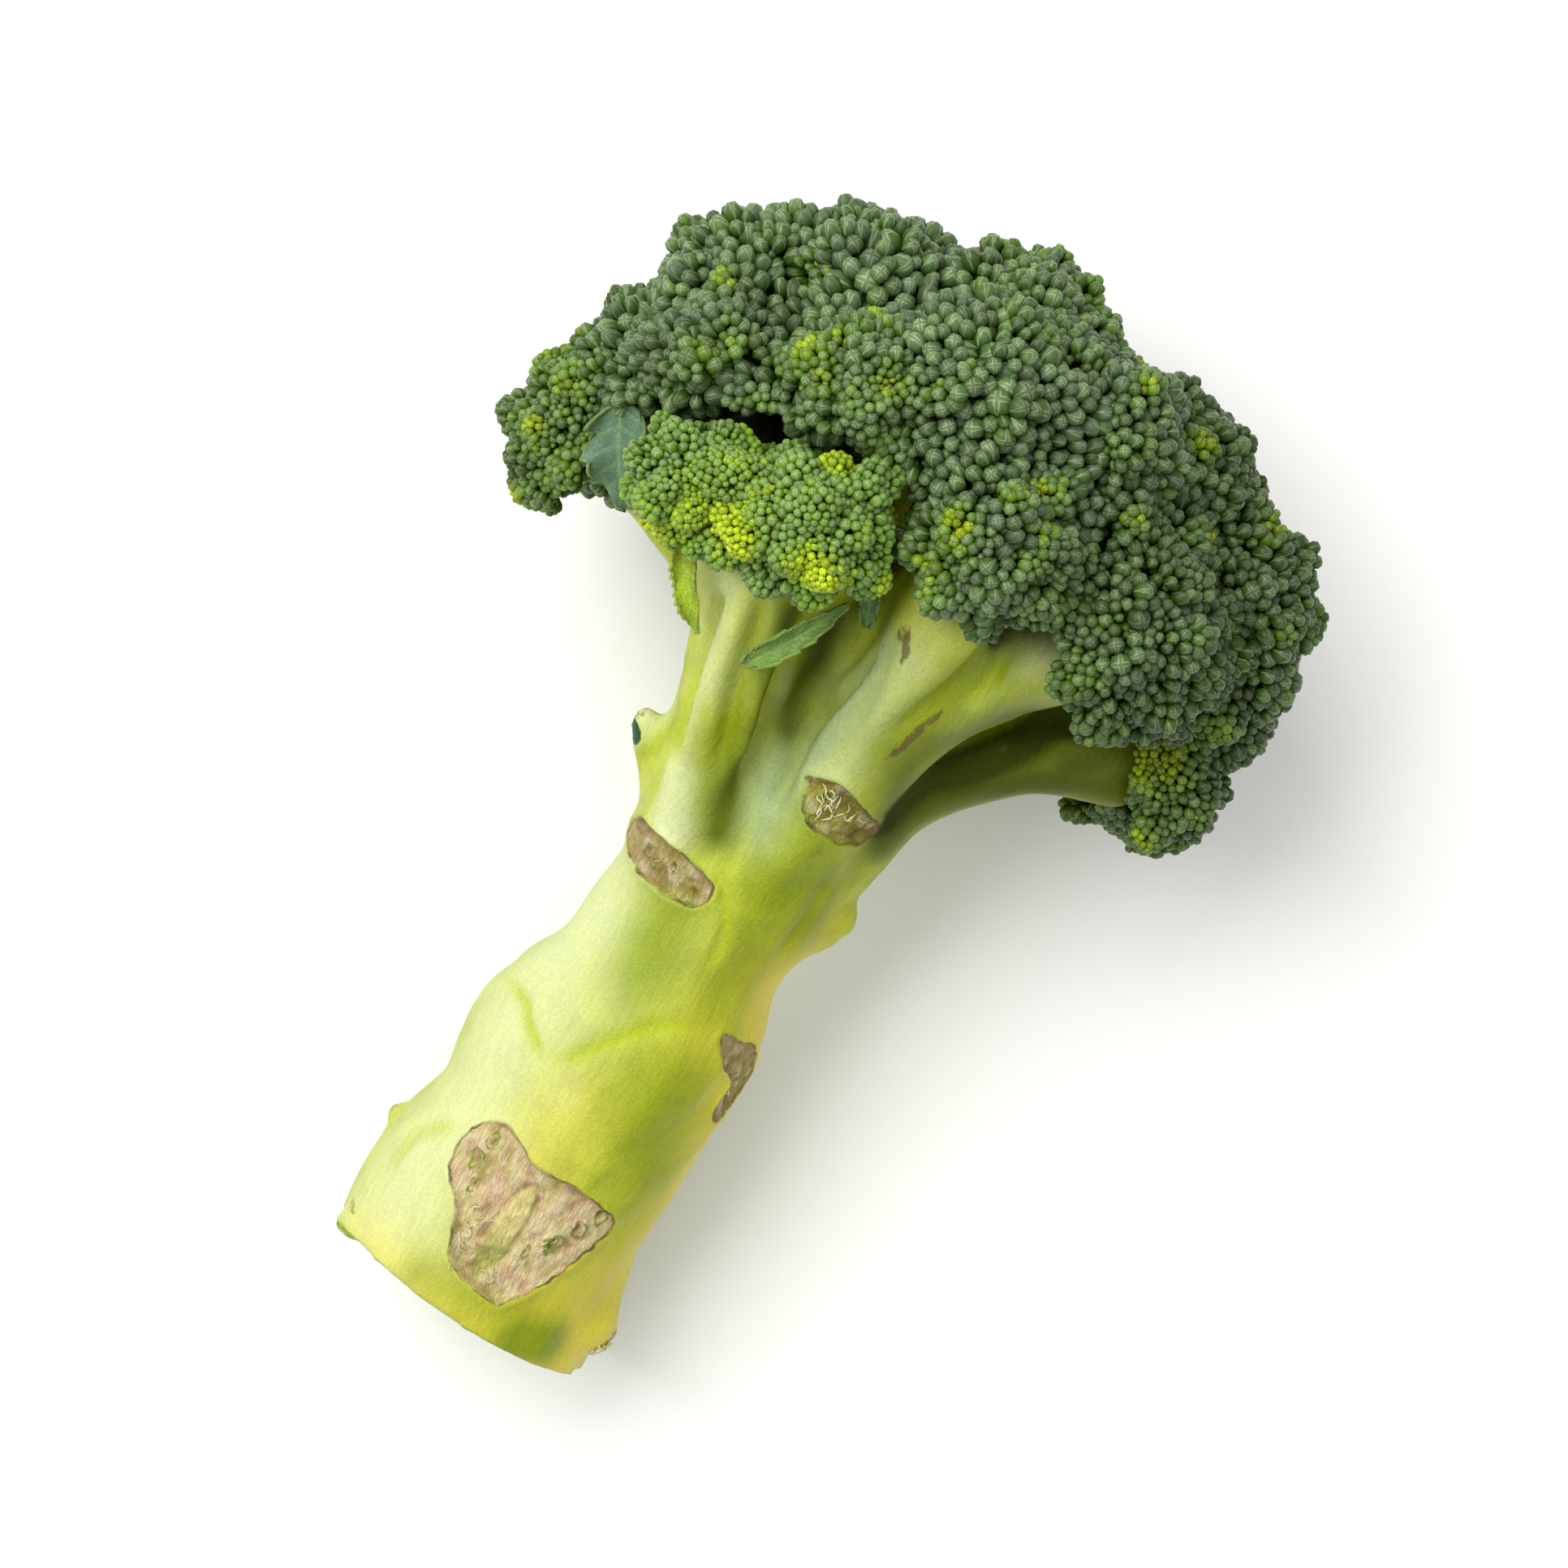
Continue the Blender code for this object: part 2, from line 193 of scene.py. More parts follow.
class StalkSettings(bpy.types.PropertyGroup):
    """Colours of the stalk's skin and of its scars."""

    skin: colour_setting("Skin", "The skin's own green", "#97a313")
    skin_light: colour_setting("Light skin", "Clouds of paler skin", "#adb826")
    # Yellowed skin, partly painted bounce light on the lower flank
    straw: colour_setting("Straw", "Yellowed skin, partly painted bounce light on the lower flank", "#dccb40")
    # Pale skin and specks, partly painted highlights along the branches
    pale: colour_setting("Pale skin", "Pale skin, partly painted highlights along the branches", "#ced59c")
    green: colour_setting("Green skin", "Skin over thin flesh", "#84940c")
    groove: colour_setting("Groove", "Yellow-green along the grooves", "#a6b60c")
    # Deep green of the fluted branch, partly painted shade under the branches
    deep: colour_setting("Deep green", "Deep green of the fluted branch, partly painted shade under the branches", "#586604")
    blue: colour_setting("Waxy skin", "Blue-green wax deep between the branches", "#95a77a")
    # Painted shade on the lowest branches and in the clefts between them
    shade: colour_setting("Painted shade", "Painted shade on the lowest branches and in the clefts between them", "#2c3600")
    leafy: colour_setting("Leaf remnant", "What is left of a leaf on its stub", "#234a2c")
    # Painted shade on the branches inside the crown
    painted_crown_shade: colour_setting("Painted crown shade", "Painted shade on the skin deep inside the crown", "#1a2408")
    flesh: colour_setting("Flesh", "The knife's cut", "#c3cb7c")
    cut_pith: colour_setting("Cut pith", "Pale pith and vein ends in the knife's cut", "#dfe3b4")
    cut_rind: colour_setting("Cut rind", "Firm flesh below the skin, in the knife's cut", "#a3b44a")
    scar_fresh: colour_setting("Fresh scar", "A new scar", "#d8c890")
    scar_pink: colour_setting("Pink scar", "Flushed parts of a new scar", "#d0ae8a")
    scar_green: colour_setting("Green scar", "Moist parts of a scar", "#a6a344")
    scar_dry: colour_setting("Dry scar", "An old scar", "#877633")
    scar_purple: colour_setting("Stained scar", "Stained parts of an old scar", "#7c6636")
    scar_rim: colour_setting("Scar rim", "The dried edge round a scar", "#5d4c2a")
    fibre: colour_setting("Fibres", "Torn fibres in a scar", "#ded6ae")
    pith: colour_setting("Pith", "Pith in the middle of a scar", "#dcd284")
    vein: colour_setting("Vein ends", "Ends of the veins in a scar", "#76911f")


class LeafSettings(bpy.types.PropertyGroup):
    """Colours of the leaves."""

    dark: colour_setting("Dark blade", "A leaf that grew in the light", "#4a6a55")
    light: colour_setting("Light blade", "A leaf that grew in the shade", "#5c8430")
    young: colour_setting("Young blade", "A leaf that is still curled", "#a3b81a")
    vein: colour_setting("Veins", "The midrib and the side veins", "#a3b87c")
    edge: colour_setting("Edge", "The thin edge of a blade", "#7c9440")


class StageSettings(bpy.types.PropertyGroup):
    """The camera and the light."""

    camera_height: FloatProperty(
        name="Camera height", description="Height over the surface", default=0.8, unit="LENGTH"
    )
    camera_turn: FloatProperty(
        name="Camera turn",
        description="Turn about the line of sight",
        default=math.radians(-60.2),
        subtype="ANGLE",
    )
    lens: FloatProperty(name="Lens", description="Focal length in millimetres", default=121.5)
    key_power: FloatProperty(
        name="Key light", description="Power of the main light", default=12.5, unit="POWER"
    )
    sky_strength: FloatProperty(name="Sky", description="Strength of the light from above", default=1.0)
    floor: colour_setting("Surface", "Colour of the surface", "#f4f4f2")


class HeadSettings(bpy.types.PropertyGroup):
    """All that a user may change."""

    buds: PointerProperty(type=BudSettings)
    stalk: PointerProperty(type=StalkSettings)
    leaves: PointerProperty(type=LeafSettings)
    stage: PointerProperty(type=StageSettings)


def settings():
    return bpy.context.scene.broccoli


# Mesh helpers -------------------------------------------------------------------------------------------


def link(name, data):
    made = bpy.data.objects.new(name, data)
    bpy.context.scene.collection.objects.link(made)
    return made


def evaluated_mesh(obj):
    """The mesh of an object with its modifiers applied. The object is removed."""
    seen = obj.evaluated_get(bpy.context.evaluated_depsgraph_get())
    mesh = bpy.data.meshes.new_from_object(seen)
    bpy.data.objects.remove(obj)
    return mesh


def merged_copy(node):
    """A copy of a solid's mesh with its loose triangles joined."""
    form = bmesh.new()
    form.from_mesh(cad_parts[node].data)
    bmesh.ops.remove_doubles(form, verts=form.verts, dist=0.001 * MM)
    mesh = bpy.data.meshes.new(node)
    form.to_mesh(mesh)
    form.free()
    return mesh


def add_remesh(obj, grain):
    remesh = obj.modifiers.new("even_faces", "REMESH")
    remesh.mode = "VOXEL"
    remesh.voxel_size = grain * MM
    remesh.use_smooth_shade = True


def add_offset(obj, distance):
    offset = obj.modifiers.new("offset", "DISPLACE")
    offset.strength = distance * MM
    offset.mid_level = 0.0


def add_smooth(obj, passes):
    smooth = obj.modifiers.new("soft_edges", "SMOOTH")
    smooth.factor = 0.5
    smooth.iterations = passes


def joined_copy(name, nodes):
    """One object from copies of several solids."""
    form = bmesh.new()
    for node in nodes:
        mesh = merged_copy(node)
        form.from_mesh(mesh)
        bpy.data.meshes.remove(mesh)
    mesh = bpy.data.meshes.new(name)
    form.to_mesh(mesh)
    form.free()
    return link(name, mesh)


def add_lobes(obj, lobes):
    """Adds small balls to an object's mesh."""
    form = bmesh.new()
    form.from_mesh(obj.data)
    for x, y, z, radius in lobes:
        matrix = Matrix.Translation((x * MM, y * MM, z * MM))
        bmesh.ops.create_icosphere(form, subdivisions=2, radius=radius * MM, matrix=matrix)
    form.to_mesh(obj.data)
    form.free()


def fill_creases(obj, grain, fill, passes):
    """One mesh in fine, even faces, with the creases filled to a rounded bottom."""
    add_remesh(obj, grain)
    add_offset(obj, fill)
    add_remesh(obj, grain)
    add_offset(obj, -fill)
    add_smooth(obj, passes)


def filled_form(name, nodes, lobes, grain, fill, passes):
    """Solids and lobes as one mesh in fine, even faces, with rounded bottoms to the creases between them."""
    form = joined_copy(name, nodes)
    add_lobes(form, lobes)
    fill_creases(form, grain, fill, passes)
    return evaluated_mesh(form)


def vertices_of(mesh):
    places = np.empty(len(mesh.vertices) * 3, np.float32)
    mesh.vertices.foreach_get("co", places)
    return places.reshape(-1, 3).astype(float)


def normals_of(mesh):
    normals = np.empty(len(mesh.vertices) * 3, np.float32)
    mesh.vertex_normals.foreach_get("vector", normals)
    return normals.reshape(-1, 3).astype(float)


def triangles_of(mesh):
    mesh.calc_loop_triangles()
    corners = np.empty(len(mesh.loop_triangles) * 3, np.int32)
    mesh.loop_triangles.foreach_get("vertices", corners)
    return corners.reshape(-1, 3)


def unit(vectors):
    return vectors / np.maximum(np.linalg.norm(vectors, axis=-1, keepdims=True), 1e-12)


def ease(values, low, high):
    """0 below low, 1 above high, and a smooth rise between."""
    share = np.clip((values - low) / (high - low), 0.0, 1.0)
    return share * share * (3 - 2 * share)


def add_attribute(mesh, name, kind, values):
    made = mesh.attributes.new(name, kind, "POINT")
    field = "vector" if kind == "FLOAT_VECTOR" else "value"
    made.data.foreach_set(field, np.ascontiguousarray(values, np.float32).ravel())


# Materials ----------------------------------------------------------------------------------------------


def add_node(tree, kind, values=None, **options):
    """A node with its settings. Values holds inputs by name or number: plain values, or outputs to link."""
    node = tree.nodes.new(kind)
    for name, value in options.items():
        setattr(node, name, value)
    for name, value in (values or {}).items():
        if isinstance(value, bpy.types.NodeSocket):
            tree.links.new(value, node.inputs[name])
        else:
            node.inputs[name].default_value = value
    return node


def new_material(name):
    """An empty material and its shader."""
    made = bpy.data.materials.new(name)
    made.use_nodes = True
    return made, made.node_tree, made.node_tree.nodes["Principled BSDF"]


def mixed(tree, share, first, second, how="MIX"):
    """The colour between two, by a share."""
    node = add_node(tree, "ShaderNodeMix", data_type="RGBA", blend_type=how)
    for number, value in ((0, share), (6, first), (7, second)):
        if isinstance(value, bpy.types.NodeSocket):
            tree.links.new(value, node.inputs[number])
        elif number:
            node.inputs[number].default_value = (*value[:3], 1.0)
        else:
            node.inputs[number].default_value = value
    return node.outputs[2]


def maths(tree, operation, *values):
    node = add_node(tree, "ShaderNodeMath", dict(enumerate(values)), operation=operation)
    return node.outputs[0]


def eased(tree, value, low, high, start=0.0, end=1.0):
    inputs = {"Value": value, "From Min": low, "From Max": high, "To Min": start, "To Max": end}
    return add_node(tree, "ShaderNodeMapRange", inputs, interpolation_type="SMOOTHSTEP").outputs[0]


def read(tree, name):
    made = add_node(tree, "ShaderNodeAttribute", attribute_name=name, attribute_type="GEOMETRY")
    return made.outputs["Fac"]


def noise(tree, size, detail=3.0, place=None):
    """Cloudy noise whose patches are about so many millimetres across."""
    place = place or add_node(tree, "ShaderNodeTexCoord").outputs["Object"]
    inputs = {"Vector": place, "Scale": 1 / (size * MM), "Detail": detail}
    return add_node(tree, "ShaderNodeTexNoise", inputs).outputs["Fac"]


def bud_skin():
    """Waxy plant skin: closed sepals, green at the base, with grey-blue wax and paler edges at the tip, and
    painted shade towards each bud's base and in the sepal slits.
    """
    look = settings().buds
    made, tree, shader = new_material("waxy_bud_sepals")
    age, bloom, tint = (read(tree, name) for name in ("age", "bloom", "tint"))
    ramp = add_node(tree, "ShaderNodeValToRGB", {"Fac": age})
    stops = ramp.color_ramp.elements
    stops[0].position, stops[0].color = 0.08, (*look.young, 1.0)
    stops[1].position, stops[1].color = 0.95, (*look.grown, 1.0)
    middle = stops.new(0.5)
    middle.color = (*look.half_grown, 1.0)
    place = add_node(tree, "ShaderNodeUVMap", uv_map="sepals").outputs["UV"]
    centred = add_node(tree, "ShaderNodeVectorMath", {0: place, 1: (0.5, 0.5, 0.0)}, operation="SUBTRACT")
    around = add_node(tree, "ShaderNodeSeparateXYZ", {0: centred.outputs[0]})
    out = add_node(tree, "ShaderNodeVectorMath", {0: centred.outputs[0]}, operation="LENGTH").outputs["Value"]
    waxed = maths(tree, "MULTIPLY", bloom, eased(tree, out, 0.40, 0.16))
    blotch = eased(tree, noise(tree, 1.6), 0.35, 0.65, 0.6, 1.0)
    colour = mixed(tree, maths(tree, "MULTIPLY", waxed, blotch), ramp.outputs["Color"], look.wax)
    nearest = maths(
        tree,
        "MINIMUM",
        maths(tree, "ABSOLUTE", around.outputs["X"]),
        maths(tree, "ABSOLUTE", around.outputs["Y"]),
    )
    edge = maths(tree, "MULTIPLY", eased(tree, nearest, 0.032, 0.012), eased(tree, out, 0.42, 0.25))
    edge = maths(tree, "MULTIPLY", edge, eased(tree, age, 0.2, 0.6, 0.15, 0.62))
    colour = mixed(tree, edge, colour, look.seam)
    # Painted shade: a dark slit where the sepals meet near the tip
    painted_slit_shade = maths(tree, "MULTIPLY", eased(tree, nearest, 0.018, 0.008), eased(tree, out, 0.25, 0.15, 0.0, 0.6))
    colour = mixed(tree, painted_slit_shade, colour, look.core)
    # The tint is each floret's tone, partly painted shade, with random change and painted shade on the lower
    # buds
    varied = eased(tree, tint, -0.2, 1.2, 0.4, 1.42)
    # Painted shade and light: each bud is darker towards its base and lighter towards its tip
    value = maths(tree, "MULTIPLY", varied, eased(tree, out, 0.42, 0.1, 0.68, 1.12))
    shade = add_node(tree, "ShaderNodeHueSaturation", {"Value": value, "Color": colour})
    tree.links.new(shade.outputs["Color"], shader.inputs["Base Color"])
    shader.inputs["Roughness"].default_value = 0.38
    shader.inputs["Specular IOR Level"].default_value = 0.25
    return made


def core_skin():
    """The fine stems below the buds: painted shade where the buds shut the light out, pale green on the
    underside.
    """
    look = settings().buds
    made, tree, shader = new_material("bud_stems")
    place = add_node(tree, "ShaderNodeTexCoord").outputs["Object"]
    foot = CROWN_FOOT.tolist()
    from_foot = add_node(tree, "ShaderNodeVectorMath", {0: place, 1: foot}, operation="SUBTRACT")
    way = add_node(tree, "ShaderNodeVectorMath", {0: from_foot.outputs[0]}, operation="NORMALIZE")
    ribs = add_node(tree, "ShaderNodeTexNoise", {"Vector": way.outputs[0], "Scale": 26.0, "Detail": 3.0})
    light = mixed(tree, eased(tree, ribs.outputs["Fac"], 0.4, 0.62), look.stems, look.ribs)
    # Painted shade on the stems that face out under the buds, pale ribbed green on their underside
    colour = mixed(tree, read(tree, "under"), look.core, light)
    tree.links.new(colour, shader.inputs["Base Color"])
    bumped(tree, shader, ribs.outputs["Fac"], 1.2)
    shader.inputs["Roughness"].default_value = 0.9
    shader.inputs["Specular IOR Level"].default_value = 0.1
    return made


def stretched(tree, lengthwise, across):
    """Object coordinates for streaks along the stalk, so many millimetres long and wide."""
    place = add_node(tree, "ShaderNodeTexCoord").outputs["Object"]
    scale = (1 / (lengthwise * MM), 1 / (across * MM), 1 / (across * MM))
    return add_node(tree, "ShaderNodeMapping", {"Vector": place, "Scale": scale}).outputs[0]


def bumped(tree, shader, height, distance):
    bump = add_node(tree, "ShaderNodeBump", {"Height": height, "Distance": distance * MM})
    tree.links.new(bump.outputs[0], shader.inputs["Normal"])


def cut_flesh(tree, look):
    """The knife's cut: pale, moist pith inside a ring of veins, then firmer, greener flesh up to the skin."""
    place = maths(tree, "ADD", read(tree, "out"), eased(tree, noise(tree, 5.0, 4.0), 0.3, 0.7, -0.03, 0.03))
    grain = eased(tree, noise(tree, 0.5, 3.0), 0.3, 0.7, 0.0, 0.35)
    pith = mixed(tree, grain, look.flesh, look.cut_pith)
    flesh = mixed(tree, eased(tree, place, 0.66, 0.74), pith, mixed(tree, grain, look.cut_rind, look.flesh))
    strands = add_node(tree, "ShaderNodeTexVoronoi", {"Scale": 1 / (1.7 * MM)})
    tree.links.new(add_node(tree, "ShaderNodeTexCoord").outputs["Object"], strands.inputs["Vector"])
    ring = maths(tree, "MULTIPLY", eased(tree, place, 0.60, 0.66), eased(tree, place, 0.80, 0.74))
    veins = maths(tree, "MULTIPLY", ring, eased(tree, strands.outputs["Distance"], 0.55, 0.25, 0.0, 0.8))
    flesh = mixed(tree, veins, flesh, look.cut_pith)
    return mixed(tree, eased(tree, place, 0.93, 0.99, 0.0, 0.8), flesh, look.green)


def stalk_skin():
    """Waxy plant skin over moist flesh: soft gloss, cloudy green under a pale bloom, with dried scars,
    painted shade under and inside the crown, and painted highlights.
    """
    look = settings().stalk
    made, tree, shader = new_material("waxy_stalk_skin")
    mottle = eased(tree, noise(tree, 5.0, 4.0), 0.35, 0.65)
    colour = mixed(tree, mottle, look.skin, look.skin_light)
    # Deep patches are partly painted shade; pale and straw ones partly painted highlights and bounce light
    for kind in ("pale", "straw", "green", "blue", "deep"):
        colour = mixed(tree, read(tree, kind), colour, getattr(look, kind))
    colour = mixed(tree, maths(tree, "MULTIPLY", read(tree, "yellow"), 0.8), colour, look.groove)
    # Painted shade on the lowest branches and in the clefts
    colour = mixed(tree, maths(tree, "MULTIPLY", read(tree, "shade"), 0.95), colour, look.shade)
    streak = add_node(
        tree, "ShaderNodeTexNoise", {"Vector": stretched(tree, 9.0, 0.7), "Scale": 1.0, "Detail": 3.0}
    ).outputs["Fac"]
    fine = noise(tree, 0.4, 3.0)
    streaked = eased(tree, streak, 0.3, 0.7, 0.95, 1.03)
    value = maths(tree, "MULTIPLY", streaked, eased(tree, fine, 0.3, 0.7, 0.92, 1.05))
    colour = add_node(tree, "ShaderNodeHueSaturation", {"Value": value, "Color": colour}).outputs[0]
    specks = add_node(tree, "ShaderNodeTexVoronoi", {"Scale": 1 / (0.55 * MM)})
    tree.links.new(add_node(tree, "ShaderNodeTexCoord").outputs["Object"], specks.inputs["Vector"])
    # No pale specks in the painted shade and deep green
    lit = maths(tree, "SUBTRACT", 1.0, maths(tree, "MAXIMUM", read(tree, "shade"), read(tree, "deep")))
    speck = maths(tree, "MULTIPLY", eased(tree, specks.outputs["Distance"], 0.3, 0.12), lit)
    speck = maths(tree, "MULTIPLY", speck, 0.13)
    colour = mixed(tree, speck, colour, look.pale)
    worn = maths(tree, "ADD", read(tree, "brown"), eased(tree, fine, 0.3, 0.7, -0.25, 0.25))
    colour = mixed(tree, eased(tree, worn, 0.35, 0.7, 0.0, 0.85), colour, look.scar_dry)
    scratched = maths(tree, "MULTIPLY", eased(tree, read(tree, "scratch"), 0.45, 0.8), 0.8)
    colour = mixed(tree, scratched, colour, look.scar_rim)
    colour = mixed(tree, eased(tree, read(tree, "leafy"), 0.4, 0.6), colour, look.leafy)
    # Painted shade on the branches inside the crown
    colour = mixed(tree, read(tree, "dark"), colour, look.painted_crown_shade)
    cut = eased(tree, read(tree, "cut"), 0.5, 0.2)
    colour = mixed(tree, cut, colour, cut_flesh(tree, look))

    depth = maths(tree, "ADD", read(tree, "scar"), eased(tree, noise(tree, 1.6), 0.3, 0.7, -0.15, 0.15))
    cloud = noise(tree, 3.2, 4.0)
    fresh = mixed(tree, eased(tree, cloud, 0.42, 0.62, 0.0, 0.9), look.scar_fresh, look.scar_pink)
    dried = mixed(tree, eased(tree, cloud, 0.4, 0.6), look.scar_dry, look.scar_purple)
    face = mixed(tree, read(tree, "dry"), fresh, dried)
    stain = eased(tree, noise(tree, 4.5, 5.0), 0.54, 0.64, 0.0, 0.5)
    stain = maths(tree, "MAXIMUM", stain, read(tree, "green"))
    face = mixed(tree, stain, face, look.scar_green)
    fibre = add_node(
        tree,
        "ShaderNodeTexNoise",
        {
            "Vector": stretched(tree, 1.6, 0.45),
            "Scale": 1.0,
            "Detail": 5.0,
            "Roughness": 0.6,
            "Distortion": 1.2,
        },
    ).outputs["Fac"]
    face = mixed(tree, eased(tree, fibre, 0.54, 0.68, 0.0, 0.35), face, look.fibre)
    face = mixed(tree, eased(tree, fibre, 0.45, 0.32, 0.0, 0.35), face, look.scar_dry)
    lump = read(tree, "lump")
    # Painted light and shade: the scar's high lumps are painted paler and its low ones darker
    face = mixed(tree, eased(tree, lump, 0.0, 0.5, 0.0, 0.4), face, look.fibre)
    face = mixed(tree, eased(tree, lump, -0.1, -0.7, 0.0, 0.5), face, look.scar_dry)
    pith_in = maths(tree, "ADD", read(tree, "pith"), eased(tree, noise(tree, 1.4, 4.0), 0.3, 0.7, -0.5, 0.5))
    moist = mixed(tree, eased(tree, fibre, 0.4, 0.6), look.vein, look.scar_green)
    pith = mixed(tree, eased(tree, read(tree, "pith_end"), 0.35, 0.75, 0.0, 0.8), look.pith, moist)
    face = mixed(tree, eased(tree, pith_in, -0.2, 0.7, 0.0, 0.75), face, pith)
    face = mixed(tree, eased(tree, read(tree, "pit"), 0.4, 0.9, 0.0, 0.9), face, look.vein)
    face = mixed(tree, eased(tree, read(tree, "pit"), -0.3, -0.8, 0.0, 0.55), face, look.scar_dry)
    rim = eased(tree, maths(tree, "ABSOLUTE", maths(tree, "SUBTRACT", depth, 0.05)), 0.30, 0.06)
    rim = maths(tree, "MULTIPLY", rim, eased(tree, noise(tree, 3.0, 3.0), 0.35, 0.62, 0.1, 0.9))
    colour = mixed(tree, eased(tree, depth, 0.0, 0.2), colour, face)
    colour = mixed(tree, rim, colour, look.scar_rim)
    tree.links.new(colour, shader.inputs["Base Color"])
    inside = eased(tree, depth, 0.0, 0.3)
    dull = maths(tree, "MAXIMUM", inside, read(tree, "shade"))
    rough = add_node(tree, "ShaderNodeMix", {0: dull, 2: 0.42, 3: 0.9})
    tree.links.new(rough.outputs[0], shader.inputs["Roughness"])
    shader.inputs["IOR"].default_value = 1.42
    shader.inputs["Specular IOR Level"].default_value = 0.25
    relief = maths(tree, "ADD", maths(tree, "MULTIPLY", fibre, maths(tree, "MULTIPLY", inside, 6.0)), fine)
    relief = maths(tree, "ADD", relief, maths(tree, "MULTIPLY", streak, 1.2))
    bumped(tree, shader, relief, 0.10)
    return made


def fibre_skin():
    """Dry plant fibre: pale straw, browner in places."""
    look = settings().stalk
    made, tree, shader = new_material("dry_fibre")
    colour = mixed(tree, eased(tree, noise(tree, 2.0), 0.4, 0.65, 0.1, 0.8), look.fibre, look.scar_green)
    tree.links.new(colour, shader.inputs["Base Color"])
    shader.inputs["Roughness"].default_value = 0.7
    return made


def leaf_skin():
    """Waxy leaf blade: dark blue-green with pale veins, or yellow-green where it is young."""
    look = settings().leaves
    made, tree, shader = new_material("waxy_leaf_blade")
    tint, yellow, vein = (read(tree, name) for name in ("tint", "yellow", "vein"))
    colour = mixed(tree, tint, look.dark, look.light)
    colour = mixed(tree, yellow, colour, look.young)
    cloud = eased(tree, noise(tree, 1.8, 4.0), 0.35, 0.65, 0.82, 1.12)
    colour = add_node(tree, "ShaderNodeHueSaturation", {"Value": cloud, "Color": colour}).outputs[0]
    colour = mixed(tree, maths(tree, "MULTIPLY", vein, 0.3), colour, look.vein)
    net = add_node(tree, "ShaderNodeTexVoronoi", {"Scale": 1 / (0.8 * MM)}, feature="DISTANCE_TO_EDGE")
    tree.links.new(add_node(tree, "ShaderNodeTexCoord").outputs["Object"], net.inputs["Vector"])
    mesh_of_veins = eased(tree, net.outputs["Distance"], 0.08, 0.02)
    colour = mixed(tree, maths(tree, "MULTIPLY", mesh_of_veins, 0.12), colour, look.vein)
    edge = eased(tree, read(tree, "rim"), 0.86, 0.98, 0.0, 0.5)
    colour = mixed(tree, edge, colour, look.edge)
    tree.links.new(colour, shader.inputs["Base Color"])
    shader.inputs["Roughness"].default_value = 0.45
    shader.inputs["IOR"].default_value = 1.45
    bumped(tree, shader, maths(tree, "SUBTRACT", cloud, maths(tree, "MULTIPLY", mesh_of_veins, 0.5)), 0.12)
    return made


def floor_finish():
    """Matt white board."""
    made, tree, shader = new_material("white_board")
    speck = eased(tree, noise(tree, 4.0), 0.3, 0.7, 0.995, 1.0)
    colour = (*settings().stage.floor, 1.0)
    shade = add_node(tree, "ShaderNodeHueSaturation", {"Value": speck, "Color": colour})
    tree.links.new(shade.outputs["Color"], shader.inputs["Base Color"])
    shader.inputs["Roughness"].default_value = 0.9
    return made


# Florets ------------------------------------------------------------------------------------------------

FLORETS = sorted(node.removeprefix("floret_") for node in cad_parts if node.startswith("floret_"))
# Small bunches where the lowest branch on the right ends: middle and radius
TWIG_LOBES = (
    (32.5, -45.5, 46, 4.2),
    (31.5, -48.5, 43, 4),
    (34.5, -43, 49, 3.5),
    (26.2, -47, 48.4, 3.3),
    (29.4, -46, 49.6, 3.2),
)
CROWN_FOOT = np.array([0.024, 0.0, 0.050])  # the florets face away from here
FORM_GRAIN = 1.0  # size of the faces that the buds are set on
CREASE_FILL = 2.2  # radius of the bottom of a crease between two florets
FORM_PASSES = 4
STEM_GRAIN = 1.8
STEM_FILL = 1.0  # the same, for the stems below the buds
STEM_SHRINK = 0.66  # these are the florets' forms, so much smaller
FOOT_SHARE = 0.25  # about a point this far from a floret's middle to its foot
CANDIDATES = 16  # places tried for each bud
LAYER_SHARES = (1.0, 0.78, 0.75)  # width of the top buds and of those that fill the gaps below, as a share
LAYER_SINKS = (0.0, 0.45, 1.0)  # how much lower they sit, as a share of their width
LOWEST_FACING = -0.3  # the lowest layer is left out where the florets face down more than this
STAND_OUT = 1.3  # how far the top buds stand out of the florets' forms
UMBEL_RISE = (-1.2, 1.0)  # how far the umbels stand in or out
STEM_OPEN = 0.2  # the same as below, on the stems
OPEN_ENOUGH = 0.10  # share of the view out that a place needs to carry a bud
VIEWS = 16  # directions in which the view out is tried
VIEW_REACH = 0.014  # how far a neighbour shuts off the view
BUD_SIDES = 8  # two to each sepal
# Rings of a grown bud from its stem to its tip: share of its length, and of its half width
GROWN_RINGS = ((0.0, 0.36), (0.36, 0.93), (0.70, 1.0), (0.93, 0.62))
YOUNG_SIDES = 6
YOUNG_RINGS = ((0.0, 0.35), (0.42, 1.0), (0.84, 0.66))
LOW_SIDES = 5
LOW_RINGS = ((0.0, 0.4), (0.62, 1.0))
SEPAL_GROOVE = 0.09  # how deep the grooves between the sepals are, as a share of the half width
TIP_DIP = 0.25  # how much of that depth the grooves keep where they cross the tip
ATLAS_SHARE = 0.47  # how far a bud reaches from the middle of its square in the bake map
CAP_PLACE, CAP_SIZE = 0.455, 0.03  # where the foot of a bud's stem lies in that square


